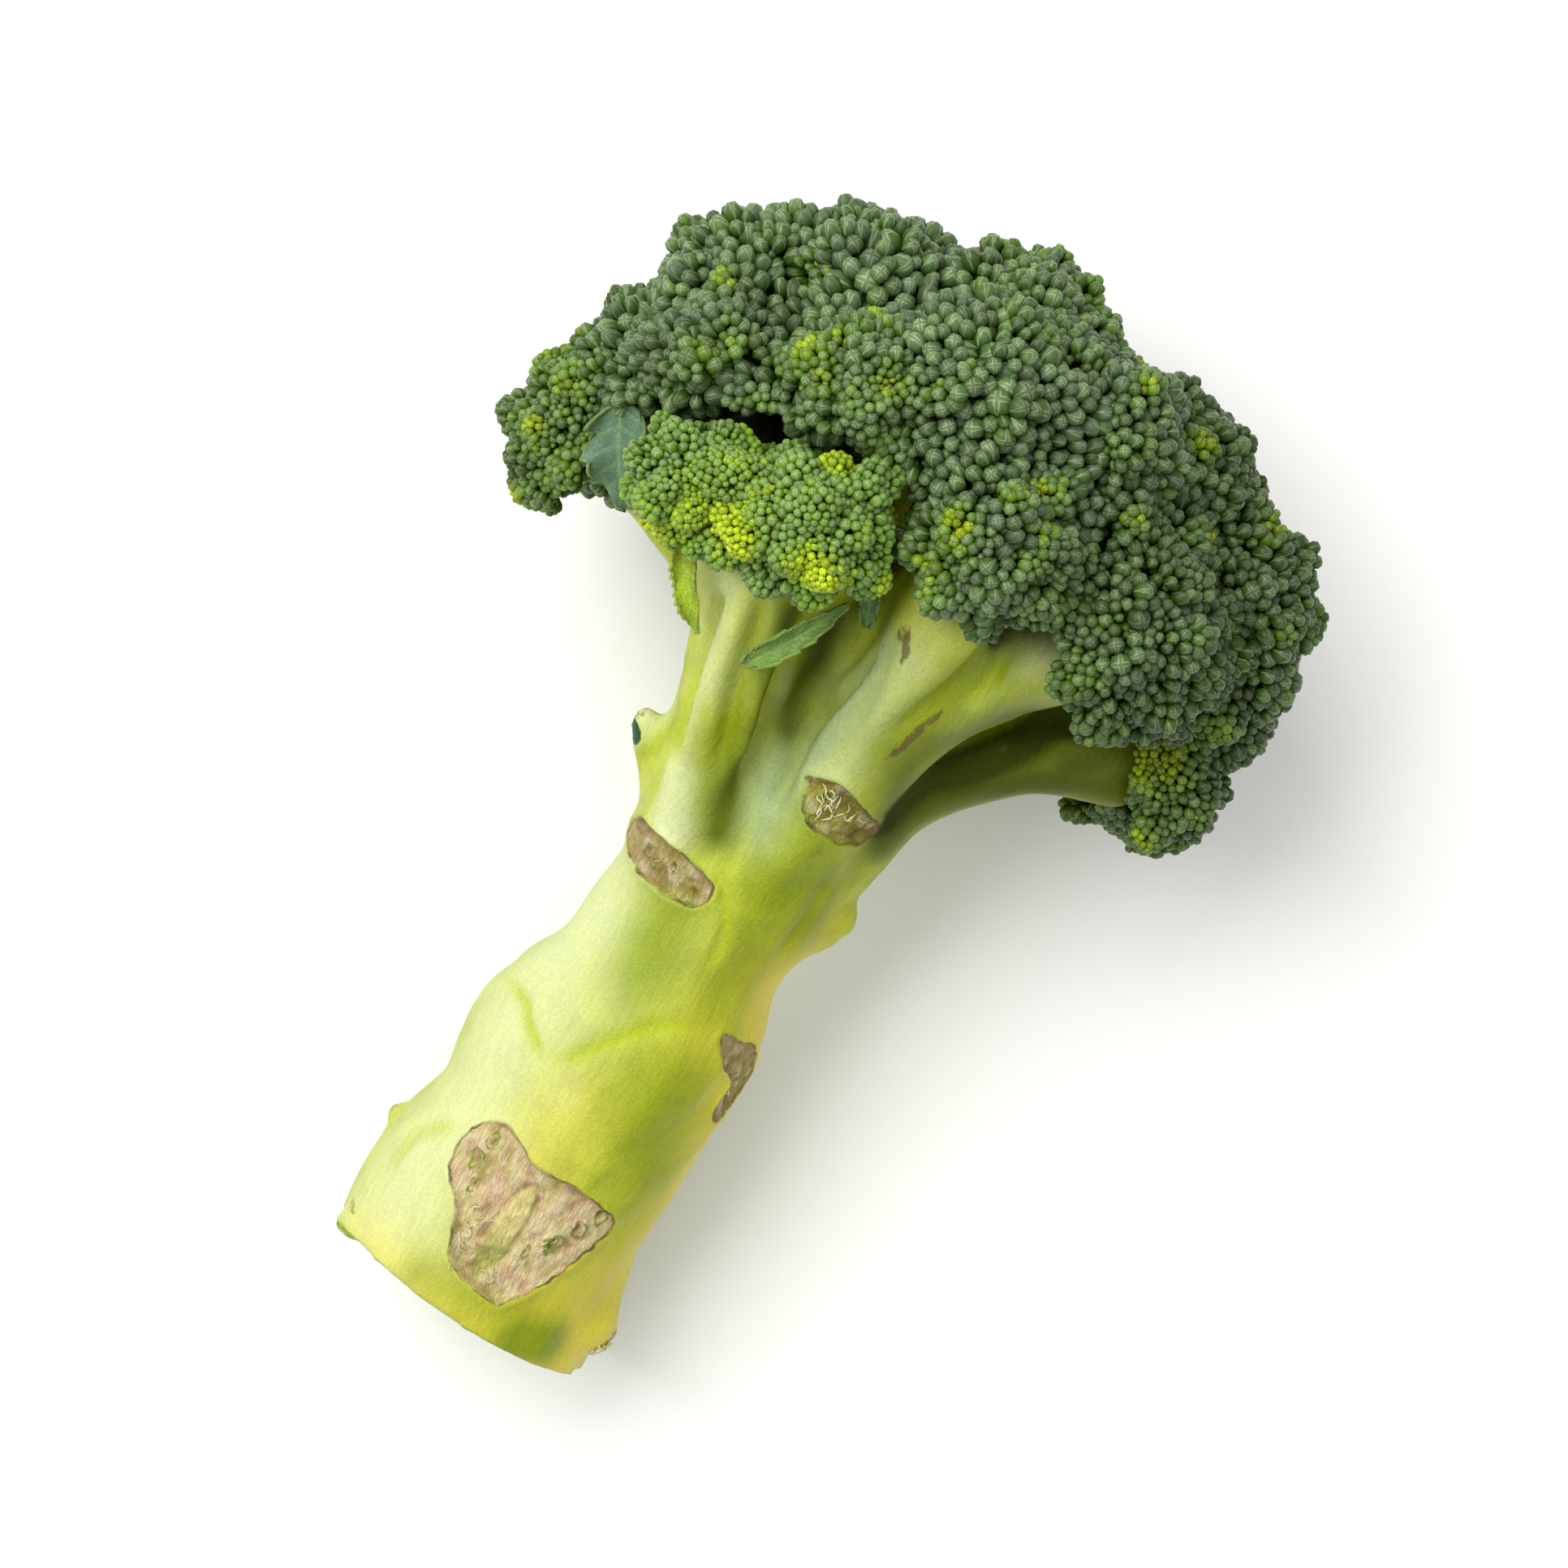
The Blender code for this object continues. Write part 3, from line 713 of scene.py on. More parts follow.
def bud_form(name, rings, sides, groove):
    """One upright bud of length 1 and width 1, with a map that looks down on its tip."""
    form = bmesh.new()
    sepals = form.loops.layers.uv.new("sepals")
    loops = []
    for height, radius in rings:
        ring = []
        for i in range(sides):
            angle = math.tau * i / sides
            sunk = groove * (i % 2 == 0)
            reach = radius / 2 * (1 - sunk)
            place = (reach * math.cos(angle), reach * math.sin(angle), height * (1 - TIP_DIP * sunk * height))
            ring.append(form.verts.new(place))
        loops.append(ring)
    tip = form.verts.new((0.0, 0.0, 1 - TIP_DIP * groove))
    for low, high in zip(loops, loops[1:]):
        for i in range(sides):
            j = (i + 1) % sides
            form.faces.new((low[i], low[j], high[j], high[i]))
    for i in range(sides):
        form.faces.new((loops[-1][i], loops[-1][(i + 1) % sides], tip))
    cap = form.faces.new(reversed(loops[0]))
    for face in form.faces:
        for corner in face.loops:
            x, y, z = corner.vert.co
            around = Vector((x, y)).normalized() if (x or y) else Vector((0.0, 0.0))
            if face is cap:
                place = Vector((CAP_PLACE, CAP_PLACE)) + around * CAP_SIZE
            else:
                place = around * (ATLAS_SHARE * max(1 - z, 0.0) ** 0.75)
            corner[sepals].uv = (0.5 + place.x, 0.5 + place.y)
        face.smooth = True
    mesh = bpy.data.meshes.new(name)
    form.to_mesh(mesh)
    form.free()
    return link(name, mesh)


def searchable(meshes):
    """A tree of several meshes' triangles, and the mesh that each triangle comes from."""
    places, faces, owners, start = [], [], [], 0
    for number, mesh in enumerate(meshes):
        points, corners = vertices_of(mesh), triangles_of(mesh)
        places.append(points)
        faces.append(corners + start)
        owners += [number] * len(corners)
        start += len(points)
    tree = BVHTree.FromPolygons(np.concatenate(places).tolist(), np.concatenate(faces).tolist())
    return tree, np.array(owners)


def spiral_directions(count):
    """Even directions over a half ball about +Z."""
    steps = np.arange(count) + 0.5
    height = 1 - steps / count * 0.9
    angle = steps * math.pi * (3 - math.sqrt(5))
    radius = np.sqrt(1 - height**2)
    return np.stack([radius * np.cos(angle), radius * np.sin(angle), height], axis=1)


def frames_about(normals):
    """Two directions across each normal."""
    helper = np.where(np.abs(normals[:, 2:]) < 0.9, [[0.0, 0.0, 1.0]], [[1.0, 0.0, 0.0]])
    first = unit(np.cross(helper, normals))
    return first, np.cross(normals, first)


def openness(places, normals, tree):
    """The share of the view out of each place that nothing near it shuts off."""
    first, second = frames_about(normals)
    free = np.zeros(len(places))
    starts = [Vector(start) for start in places + normals * 0.4 * MM]
    for x, y, z in spiral_directions(VIEWS):
        ways = first * x + second * y + normals * z
        free += [tree.ray_cast(start, Vector(way), VIEW_REACH)[0] is None for start, way in zip(starts, ways)]
    return free / VIEWS


def spread_over(mesh, weights, count, random):
    """Random places over a mesh, as a triangle and its three shares, more where the weights are high."""
    points, corners = vertices_of(mesh), triangles_of(mesh)
    a, b, c = (points[corners[:, i]] for i in range(3))
    area = np.linalg.norm(np.cross(b - a, c - a), axis=1) * weights[corners].mean(axis=1)
    chosen = random.choice(len(corners), size=count, p=area / area.sum())
    shares = random.dirichlet((1.0, 1.0, 1.0), size=count)
    return corners[chosen], shares


def blended(values, corners, shares):
    """Values of a mesh's points, at places given by a triangle and its three shares."""
    shares = shares.reshape(len(shares), 3, *([1] * (values.ndim - 1)))
    return (values[corners] * shares).sum(axis=1)


def near_tree(places):
    tree = KDTree(len(places))
    for number, place in enumerate(places):
        tree.insert(place, number)
    tree.balance()
    return tree


def pack(places, reach, order):
    """The places, taken in order, that stay clear of those taken before them."""
    tree = near_tree(places)
    widest = reach.max()
    blocked = np.zeros(len(places), bool)
    taken = []
    for i in order:
        if blocked[i]:
            continue
        taken.append(i)
        for _, j, gap in tree.find_range(places[i], reach[i] + widest):
            blocked[j] |= gap < reach[i] + reach[j]
    return np.array(taken)


def nearest_two(places, middles):
    """For each place its nearest middle, and how far that and the next one are."""
    tree = near_tree(middles)
    found = [tree.find_n(place, 2) for place in places]
    return np.array([(first[1], first[2], second[2]) for first, second in found]).T


def open_area(mesh, weights):
    points, corners = vertices_of(mesh), triangles_of(mesh)
    a, b, c = (points[corners[:, i]] for i in range(3))
    area = np.linalg.norm(np.cross(b - a, c - a), axis=1) / 2
    return float((area * weights[corners].mean(axis=1)).sum())


def looks_of(owners, field):
    """One figure of the florets' looks, for each place's floret."""
    figures = np.array([getattr(LOOKS.get(name, Look()), field) for name in FLORETS])
    return figures[owners]


def youth_of(middles, owners, random):
    """How young each umbel's middle is, and the umbel as a whole: 0 for grown buds and 1 for the youngest."""
    closed = random.random(len(middles)) < looks_of(owners, "closed")
    youth = np.where(closed, 0.1, 0.75) * random.uniform(0.5, 1.0, len(middles))
    whole = np.clip(1 - looks_of(owners, "age") + random.normal(0.0, 0.12, len(middles)), 0.0, 1.0)
    return youth, whole


def patchiness(places):
    """How much younger the buds are at each place than their floret's, and how much older and waxier."""
    younger, older = np.zeros(len(places)), np.zeros(len(places))
    for x, y, z, radius, change in AGE_PATCHES:
        near = ease(np.linalg.norm(places / MM - (x, y, z), axis=1), radius * 1.7, radius * 0.2) * abs(change)
        if change < 0:
            younger = np.maximum(younger, near)
        else:
            older = np.maximum(older, near)
    return younger, older


def floret_search(group):
    """A tree of a group's florets, and the floret that each of its triangles belongs to."""
    tree, owners = searchable([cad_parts["floret_" + name].data for name in group])
    return tree, np.array([FLORETS.index(name) for name in group])[owners]


def owners_of(places, floret_tree):
    tree, owners = floret_tree
    return owners[[tree.find_nearest(Vector(place))[2] for place in places]]


class Umbels:
    """The umbels of a group of florets: their middles, and what each one's buds are like."""

    def __init__(self, mesh, carries, floret_tree, random):
        corners, shares = spread_over(mesh, carries, int(open_area(mesh, carries) / MM**2 / 2), random)
        places = blended(vertices_of(mesh), corners, shares)
        apart = looks_of(owners_of(places, floret_tree), "umbel") * random.uniform(0.75, 1.15, len(places))
        taken = pack(places, apart / 2 * MM, range(len(places)))
        self.middles = places[taken]
        self.facing = unit(blended(normals_of(mesh), corners, shares))[taken]
        self.owners = owners_of(self.middles, floret_tree)
        self.size = looks_of(self.owners, "umbel") * MM
        self.rise = random.uniform(*UMBEL_RISE, len(taken)) * MM
        spacing = settings().buds.tuft / 2 * random.uniform(0.7, 1.2, len(places))
        tufts = pack(places, spacing, range(len(places)))
        self.tufts = places[tufts]
        self.tuft_facing = unit(blended(normals_of(mesh), corners, shares))[tufts]
        self.youth, self.whole = youth_of(self.middles, self.owners, random)

    def at(self, places, owners):
        """For each place its umbel, how far out in it the place lies, and the age and width of buds there."""
        umbel, near, next_near = nearest_two(places, self.middles)
        umbel = umbel.astype(int)
        out = ease(near, 0.5 * MM, self.size[umbel] * 0.45)
        younger, older = patchiness(places)
        age = (1 - self.youth[umbel] * (1 - out)) * (1 - np.maximum(self.whole[umbel] * (1 - older), younger))
        edge = np.clip(2 * near / (near + next_near), 0.0, 1.0)
        youngest = settings().buds.youngest
        grown = looks_of(owners, "bud") * MM * (1 + 0.2 * older)
        return umbel, near, edge, age, youngest + (grown - youngest) * age


def grow_buds(mesh, open_enough, neighbours, floret_tree, random):
    """The buds of a group of florets: where each stands and faces, its sizes, age and so on, and floret."""
    sizes = settings().buds
    points, normals = vertices_of(mesh), normals_of(mesh)
    outward = unit(points - CROWN_FOOT)
    view = openness(points, normals, neighbours)
    carries = ease(view, open_enough * 0.6, open_enough) * ((normals * outward).sum(axis=1) > -0.75)
    umbels = Umbels(mesh, carries, floret_tree, random)

    usual = umbels.at(points, owners_of(points, floret_tree))[4]
    weights = carries / usual**2
    corners, shares = spread_over(mesh, weights, int(CANDIDATES * open_area(mesh, weights)), random)
    layers = len(LAYER_SHARES)
    layer = np.repeat(np.arange(layers), len(corners))
    corners, shares = np.concatenate([corners] * layers), np.concatenate([shares] * layers)
    count = len(corners)
    lower = layer > 0
    places, facing = blended(points, corners, shares), unit(blended(normals, corners, shares))
    owners = owners_of(places, floret_tree)
    umbel, near, edge, age, width = umbels.at(places, owners)
    tuft, tuft_near, tuft_next = nearest_two(places, umbels.tufts)
    tuft = tuft.astype(int)
    tuft_edge = np.clip(2 * tuft_near / (tuft_near + tuft_next), 0.0, 1.0)
    tuft_age = random.normal(0.0, 0.1, len(umbels.tufts))[tuft]
    age = np.clip(age * np.where(lower, 0.8, 1.0) + tuft_age + random.normal(0.0, 0.06, count), 0.0, 1.0)
    width *= random.triangular(0.66, 0.95, 1.4, count) * np.array(LAYER_SHARES)[layer]
    stretch = 1.05 + (looks_of(owners, "length") - 1.05) * age
    length = width * stretch * random.uniform(0.92, 1.12, count)
    sunk = sizes.umbel_drop * (umbels.size[umbel] / (9.5 * MM)) * edge**2.2 - umbels.rise[umbel]
    sunk += 0.4 * MM * (1 - age) * umbels.youth[umbel] + random.uniform(-0.1, 0.16, count) * width
    sunk += np.array(LAYER_SINKS)[layer] * width - STAND_OUT * MM + sizes.tuft_drop * tuft_edge**2
    bodies = places - facing * (sunk + length / 2)[:, None]
    order = np.argsort(near + random.uniform(0.0, 0.4 * MM, count) + layer)
    order = order[(layer[order] < 2) | (facing[order, 2] > LOWEST_FACING)]
    taken = pack(bodies, width / 2 * (1 - sizes.overlap), order)

    bodies, facing, umbel, tuft, owners = (values[taken] for values in (bodies, facing, umbel, tuft, owners))
    age, width, length, layer = (values[taken] for values in (age, width, length, layer))
    count = len(taken)
    fan = unit(bodies - umbels.middles[umbel] + umbels.facing[umbel] * sizes.umbel_root)
    tuft_fan = unit(bodies - umbels.tufts[tuft] + umbels.tuft_facing[tuft] * sizes.tuft)
    facing = unit(fan + tuft_fan + 0.6 * facing + random.normal(0.0, 0.3, facing.shape))
    patch = random.uniform(0.45, 1.3, len(umbels.tufts))[tuft]
    older = patchiness(bodies)[1]
    bloom = (looks_of(owners, "bloom") + 0.5 * older) * ease(age, 0.35, 0.9) * patch
    bloom = bloom * random.uniform(0.5, 1.1, count)
    buds = {
        "feet": bodies - facing * length[:, None] / 2,
        "facing": facing,
        "width": width,
        "length": length,
        "age": age,
        "bloom": bloom,
        # Lower buds, that fill the gaps, are painted darker as shade
        "tint": looks_of(owners, "value") + random.uniform(-0.3, 0.3, count) - 0.15 * layer,
        "form": np.maximum(layer, age < 0.3),
        "spin": random.uniform(0.0, math.tau, count),
    }
    return buds, owners


def bud_tree(material, forms):
    """Geometry nodes that set a bud of either form on each point."""
    tree = bpy.data.node_groups.new("set_buds", "GeometryNodeTree")
    faces = tree.interface
    faces.new_socket("Geometry", in_out="INPUT", socket_type="NodeSocketGeometry")
    for name in ("Width Scale", "Length Scale"):
        socket = faces.new_socket(name, in_out="INPUT", socket_type="NodeSocketFloat")
        socket.default_value = 1.0
    faces.new_socket("Geometry", in_out="OUTPUT", socket_type="NodeSocketGeometry")
    given = add_node(tree, "NodeGroupInput")

    def named(name, kind):
        found = add_node(tree, "GeometryNodeInputNamedAttribute", {"Name": name}, data_type=kind)
        return found.outputs["Attribute"]

    turned = add_node(
        tree, "FunctionNodeAlignRotationToVector", {"Vector": named("facing", "FLOAT_VECTOR")}, axis="Z"
    )
    spin = add_node(tree, "ShaderNodeCombineXYZ", {"Z": named("spin", "FLOAT")})
    rotation = add_node(
        tree,
        "FunctionNodeRotateRotation",
        {"Rotation": turned.outputs[0], "Rotate By": spin.outputs[0]},
        rotation_space="LOCAL",
    )
    width = maths(tree, "MULTIPLY", named("width", "FLOAT"), given.outputs["Width Scale"])
    length = maths(tree, "MULTIPLY", named("length", "FLOAT"), given.outputs["Length Scale"])
    scale = add_node(tree, "ShaderNodeCombineXYZ", {"X": width, "Y": width, "Z": length})
    joined = add_node(tree, "GeometryNodeJoinGeometry")
    for number, form in enumerate(forms):
        chosen = add_node(
            tree,
            "FunctionNodeCompare",
            {2: named("form", "INT"), 3: number},
            data_type="INT",
            operation="EQUAL",
        )
        source = add_node(tree, "GeometryNodeObjectInfo", {"Object": form})
        placed = add_node(
            tree,
            "GeometryNodeInstanceOnPoints",
            {
                "Points": given.outputs["Geometry"],
                "Selection": chosen.outputs[0],
                "Instance": source.outputs["Geometry"],
                "Rotation": rotation.outputs[0],
                "Scale": scale.outputs[0],
            },
        )
        tree.links.new(placed.outputs[0], joined.inputs[0])
    solid = add_node(tree, "GeometryNodeRealizeInstances", {"Geometry": joined.outputs[0]})
    finished = add_node(tree, "GeometryNodeSetMaterial", {"Geometry": solid.outputs[0], "Material": material})
    add_node(tree, "NodeGroupOutput", {0: finished.outputs[0]})
    return tree


def lay_bake_map(mesh, count):
    """A map with a square of its own for each bud."""
    squares = math.ceil(math.sqrt(count))
    ids = np.empty(len(mesh.vertices), np.int32)
    mesh.attributes["bud"].data.foreach_get("value", ids)
    corners = np.empty(len(mesh.loops), np.int32)
    mesh.loops.foreach_get("vertex_index", corners)
    places = np.empty(len(mesh.loops) * 2, np.float32)
    mesh.uv_layers["sepals"].uv.foreach_get("vector", places)
    square = np.stack([ids[corners] % squares, ids[corners] // squares], axis=1)
    laid = (square + places.reshape(-1, 2)) / squares
    mesh.uv_layers.new(name="OFBake", do_init=False)
    mesh.uv_layers["OFBake"].uv.foreach_set("vector", laid.astype(np.float32).ravel())


def set_buds(name, buds, tree):
    """One floret's buds as a single mesh."""
    points = bpy.data.meshes.new("bud_points")
    feet = buds["feet"]
    points.from_pydata(feet.tolist(), [], [])
    add_attribute(points, "facing", "FLOAT_VECTOR", buds["facing"])
    for field in ("width", "length", "spin", "age", "bloom", "tint"):
        add_attribute(points, field, "FLOAT", buds[field])
    for field, values in (("form", buds["form"]), ("bud", np.arange(len(feet)))):
        made = points.attributes.new(field, "INT", "POINT")
        made.data.foreach_set("value", values.astype(np.int32))
    holder = link("bud_points_" + name, points)
    holder.modifiers.new("set_buds", "NODES").node_group = tree
    mesh = evaluated_mesh(holder)
    places = vertices_of(mesh)
    places[:, 2] = np.maximum(places[:, 2], 0.05 * MM)
    mesh.vertices.foreach_set("co", places.astype(np.float32).ravel())
    lay_bake_map(mesh, len(feet))
    for field in ("facing", "width", "length", "spin", "form", "bud"):
        if field in mesh.attributes:
            mesh.attributes.remove(mesh.attributes[field])
    return link("buds_" + name, mesh)


def drawn_in(node):
    """A floret's solid shrunk towards its foot, as a mesh."""
    mesh = merged_copy(node)
    points = vertices_of(mesh)
    middle = points.mean(axis=0)
    nearest = points[np.argmin(np.linalg.norm(points - CROWN_FOOT, axis=1))]
    foot = middle + FOOT_SHARE * (nearest - middle)
    points = foot + (points - foot) * STEM_SHRINK
    points[:, 2] = np.maximum(points[:, 2], 0.5 * MM)
    mesh.vertices.foreach_set("co", points.astype(np.float32).ravel())
    return mesh


def stem_form():
    """What the buds grow from: all florets' forms drawn in, as one mesh."""
    form = bmesh.new()
    for name in FLORETS:
        mesh = drawn_in("floret_" + name)
        form.from_mesh(mesh)
        bpy.data.meshes.remove(mesh)
    mesh = bpy.data.meshes.new("stems")
    form.to_mesh(mesh)
    form.free()
    holder = link("stems", mesh)
    fill_creases(holder, STEM_GRAIN, STEM_FILL, FORM_PASSES)
    return evaluated_mesh(holder)


def make_stems(form, material):
    points, normals = vertices_of(form), normals_of(form)
    outward = unit(points - CROWN_FOOT)
    add_attribute(form, "under", "FLOAT", ease(-(normals * outward).sum(axis=1), 0.1, 0.7))
    form.materials.clear()
    form.materials.append(material)
    return link("bud_stems", form)


def make_florets():
    skin, inner = bud_skin(), core_skin()
    forms = [
        bud_form("grown_bud", GROWN_RINGS, BUD_SIDES, SEPAL_GROOVE),
        bud_form("young_bud", YOUNG_RINGS, YOUNG_SIDES, 0.0),
        bud_form("low_bud", LOW_RINGS, LOW_SIDES, 0.0),
    ]
    tree = bud_tree(skin, forms)
    front = [name for group in FRONT_GROUPS for name in group]
    groups = [*FRONT_GROUPS, [name for name in FLORETS if name not in front]]
    meshes = []
    for number, group in enumerate(groups):
        nodes = ["floret_" + name for name in group]
        lobes = () if set(group) & set(front) else TWIG_LOBES
        meshes.append(filled_form(f"group_{number}", nodes, lobes, FORM_GRAIN, CREASE_FILL, FORM_PASSES))
    stems = stem_form()
    groups.append(FLORETS)
    meshes.append(stems)
    neighbours = searchable([*meshes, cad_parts["stalk"].data])[0]
    grown = []
    for number, (group, mesh) in enumerate(zip(groups, meshes)):
        random = np.random.default_rng(settings().buds.seed + number)
        open_enough = STEM_OPEN if mesh is stems else OPEN_ENOUGH
        grown.append(grow_buds(mesh, open_enough, neighbours, floret_search(group), random))
    owners = np.concatenate([part[1] for part in grown])
    buds = {field: np.concatenate([part[0][field] for part in grown]) for field in grown[0][0]}
    for number, name in enumerate(FLORETS):
        own = {field: values[owners == number] for field, values in buds.items()}
        piece = set_buds(name, own, tree)
        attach(piece, "root")
        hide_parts("floret_" + name)
    stems = make_stems(stems, inner)
    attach(stems, "root")
    for form in forms:
        bpy.data.objects.remove(form)


# Stalk --------------------------------------------------------------------------------------------------

SKIN_GRAIN = 0.9  # size of the faces of the skin
SKIN_PASSES = 32  # how often these are smoothed on the thick end
CRISP_PASSES = 5  # the same, near the knife's cut and the broken leaf stalks
FORK_PASSES = 10  # the same, on the branches
FORK_X = (-22.0, -8.0)  # where the branches begin
CRISP_REACH = 3.0  # how near the knife's cut
# Where the form stays crisp because something broke off: x, y, z and radius
STUBS = (
    (0.5, 20.5, 48.0, 9.0),
    (-9.5, -20.5, 35.0, 8.0),
    (-67.0, 23.2, 24.0, 10.0),
    (-81.5, -20.5, 24.0, 10.0),
    (-44.0, 19.5, 33.0, 12.0),
    (-84.0, 21.0, 31.0, 9.0),
)
EDGE_STEPS = 48  # directions in which the cut's edge is sought
SHUT_IN = (0.85, 0.45)  # share of the view out from which to which the branches get painted shade inside the crown
SHUT_IN_X = (32.0, 42.0)  # and where the crown's inside begins

# Grooves: half width, depth, how yellow-green they are, and the points they pass through
GROOVES = (
    # over the leaf bases on the thick end
    (
        1.0, 0.45, 1.0,
        ((-49.7, 7.7, 48.1), (-44.8, 3.4, 49.6), (-41.3, 0.6, 50.2),
         (-36.2, -4.1, 50.2), (-33.1, -10.9, 47.3)),
    ),
    (0.8, 0.6, 1.0, ((-41.4, 18.9, 34.8), (-43, 14.7, 43.6), (-45.5, 12.6, 45.7), (-49.2, 7.7, 48.2))),
    (1.0, 0.5, 0.6, ((-62.7, 13.5, 42), (-66.1, 17, 38.8), (-69.3, 18.7, 36.9), (-75.9, 19.3, 36))),
    (0.8, 0.4, 0.5, ((-64, -12.8, 40), (-67.5, -14.5, 37), (-72, -14.8, 36))),
    # below the scar at the fork
    (
        0.8, 0.5, 0.6,
        ((-13.7, 0.3, 53.2), (-14.5, -1.8, 53.3), (-18.9, -4.8, 51.4),
         (-22.4, -5.6, 50.3), (-27, -5.4, 49)),
    ),
    (0.9, 0.5, 0.35, ((0.5, 0.6, 56.6), (-6.1, -0.8, 55.3), (-9.7, -1.2, 54.7), (-13.5, -1.2, 53.5))),
    (0.8, 0.4, 0.7, ((8, 16.2, 60.5), (-2.3, 14.4, 56.3), (-10.2, 12.9, 52.3))),
    # flutes of the front branches
    (
        1.2, 1.9, 0.3,
        ((25, 13.8, 77), (19.4, 12.2, 72.9), (14.9, 11.1, 69.8),
         (10.8, 10.4, 67.1), (4, 8, 63), (-2, 5.8, 59)),
    ),
    (
        1.0, 1.2, 0.5,
        ((22, 18.2, 71.2), (18.3, 17.7, 69.2), (9.7, 16, 63.3), (2.1, 14.2, 59.8), (-4, 12.4, 57)),
    ),
    (
        1.7, 2.6, 0.0,
        ((25, 6, 69.6), (16, 5, 66), (12, 4.4, 64), (8, 3.4, 61.2), (2.1, 2.8, 58.6), (-5, 1.2, 55.8)),
    ),
    (2.0, -0.9, 0.0, ((22, 16, 73), (14, 14, 68), (6, 12.4, 63), (-3, 10.5, 57.5))),
    (1.6, -0.8, 0.0, ((22, 9.6, 73), (14, 8.6, 68.5), (6, 6.9, 63.5), (0, 5.6, 60))),
    (2.2, -0.7, 0.0, ((38, -27, 68.5), (30, -22.8, 66.8), (24, -20.6, 64.8), (17, -16.5, 63))),
    (
        1.3, 1.8, 0.1,
        ((26, -3.8, 69), (18.5, -2.8, 63.8), (11.5, -1.4, 59.6), (3.5, -1.8, 58), (-3, -2.4, 56)),
    ),
    (1.4, 0.9, 0.2, ((30, -4, 74), (20.5, -5.6, 68.5), (13.5, -6.8, 63.5), (6.5, -6.6, 60.6))),
    (1.6, 1.2, 0.4, ((36, -17, 70), (29.4, -16.4, 68.6), (21.8, -13.6, 67), (14, -11, 64.4))),
    (1.0, 0.8, 0.9, ((34.1, -19.8, 65.8), (29.4, -19.8, 66.2), (23.8, -17.9, 65.2))),
    (1.2, 0.7, 0.3, ((-5, -14, 51), (-12.5, -14.5, 47), (-20, -13, 45))),
    (1.0, 0.6, 0.3, ((24, -29, 49.5), (17, -24, 49.5), (9, -18.5, 49))),
)

# Swellings and hollows: middle, radii, and how far they stand out
SWELLINGS = (
    ((-44.5, -8, 47.5), (9, 9, 9), 1.1),
    ((-24.5, 3, 50), (9, 6, 7), 0.8),
    ((-70, 18, 35), (9, 6, 9), 0.7),
    ((-10, 8.5, 56), (7, 5, 6), 0.5),
    ((-5, -8, 56), (8, 5, 6), 0.7),
    ((-17, -16, 42), (7, 5, 6), 0.6),
    ((-56, 14, 41), (8, 6, 8), -0.5),
    ((-30, 12, 43), (8, 6, 8), -0.5),
    ((-30, -14, 38), (8, 6, 8), -0.4),
    ((-60, -14, 28), (12, 8, 10), 0.5),
    ((-40, 8, 14), (14, 9, 9), 0.8),
    ((28, -47.5, 45), (7, 6, 8), -2.5),
    ((-45.5, 20, 33), (7, 6, 9), 1.2),
    ((-52, 20.5, 29), (7, 5, 8), 1),
    ((-67.5, 23, 25), (2.5, 3.5, 3), 1),
    ((-86, 22, 31), (5, 4.5, 7), 1.8),
    ((1, 19.8, 49), (3.2, 3, 3), 1.8),
    ((-80.5, -18.5, 27), (5, 4, 5), 1.6),
    ((-10, -19.5, 38), (4, 4, 4), 1.2),
    ((14, 0.6, 59.5), (10, 4, 5), -1.6),
    ((3, -0.2, 57.5), (7, 3.5, 4), -1),
)


class Scar:
    """Where a leaf stalk broke off."""

    def __init__(self, outline, dry, pits, pith=None):
        self.outline = np.array(outline, float)  # points round its edge
        self.dry = dry  # 0 for fresh and pale, 1 for brown
        self.pits = pits  # ends of the veins, with their radii
        self.pith = pith  # ends of the pale pith in its middle


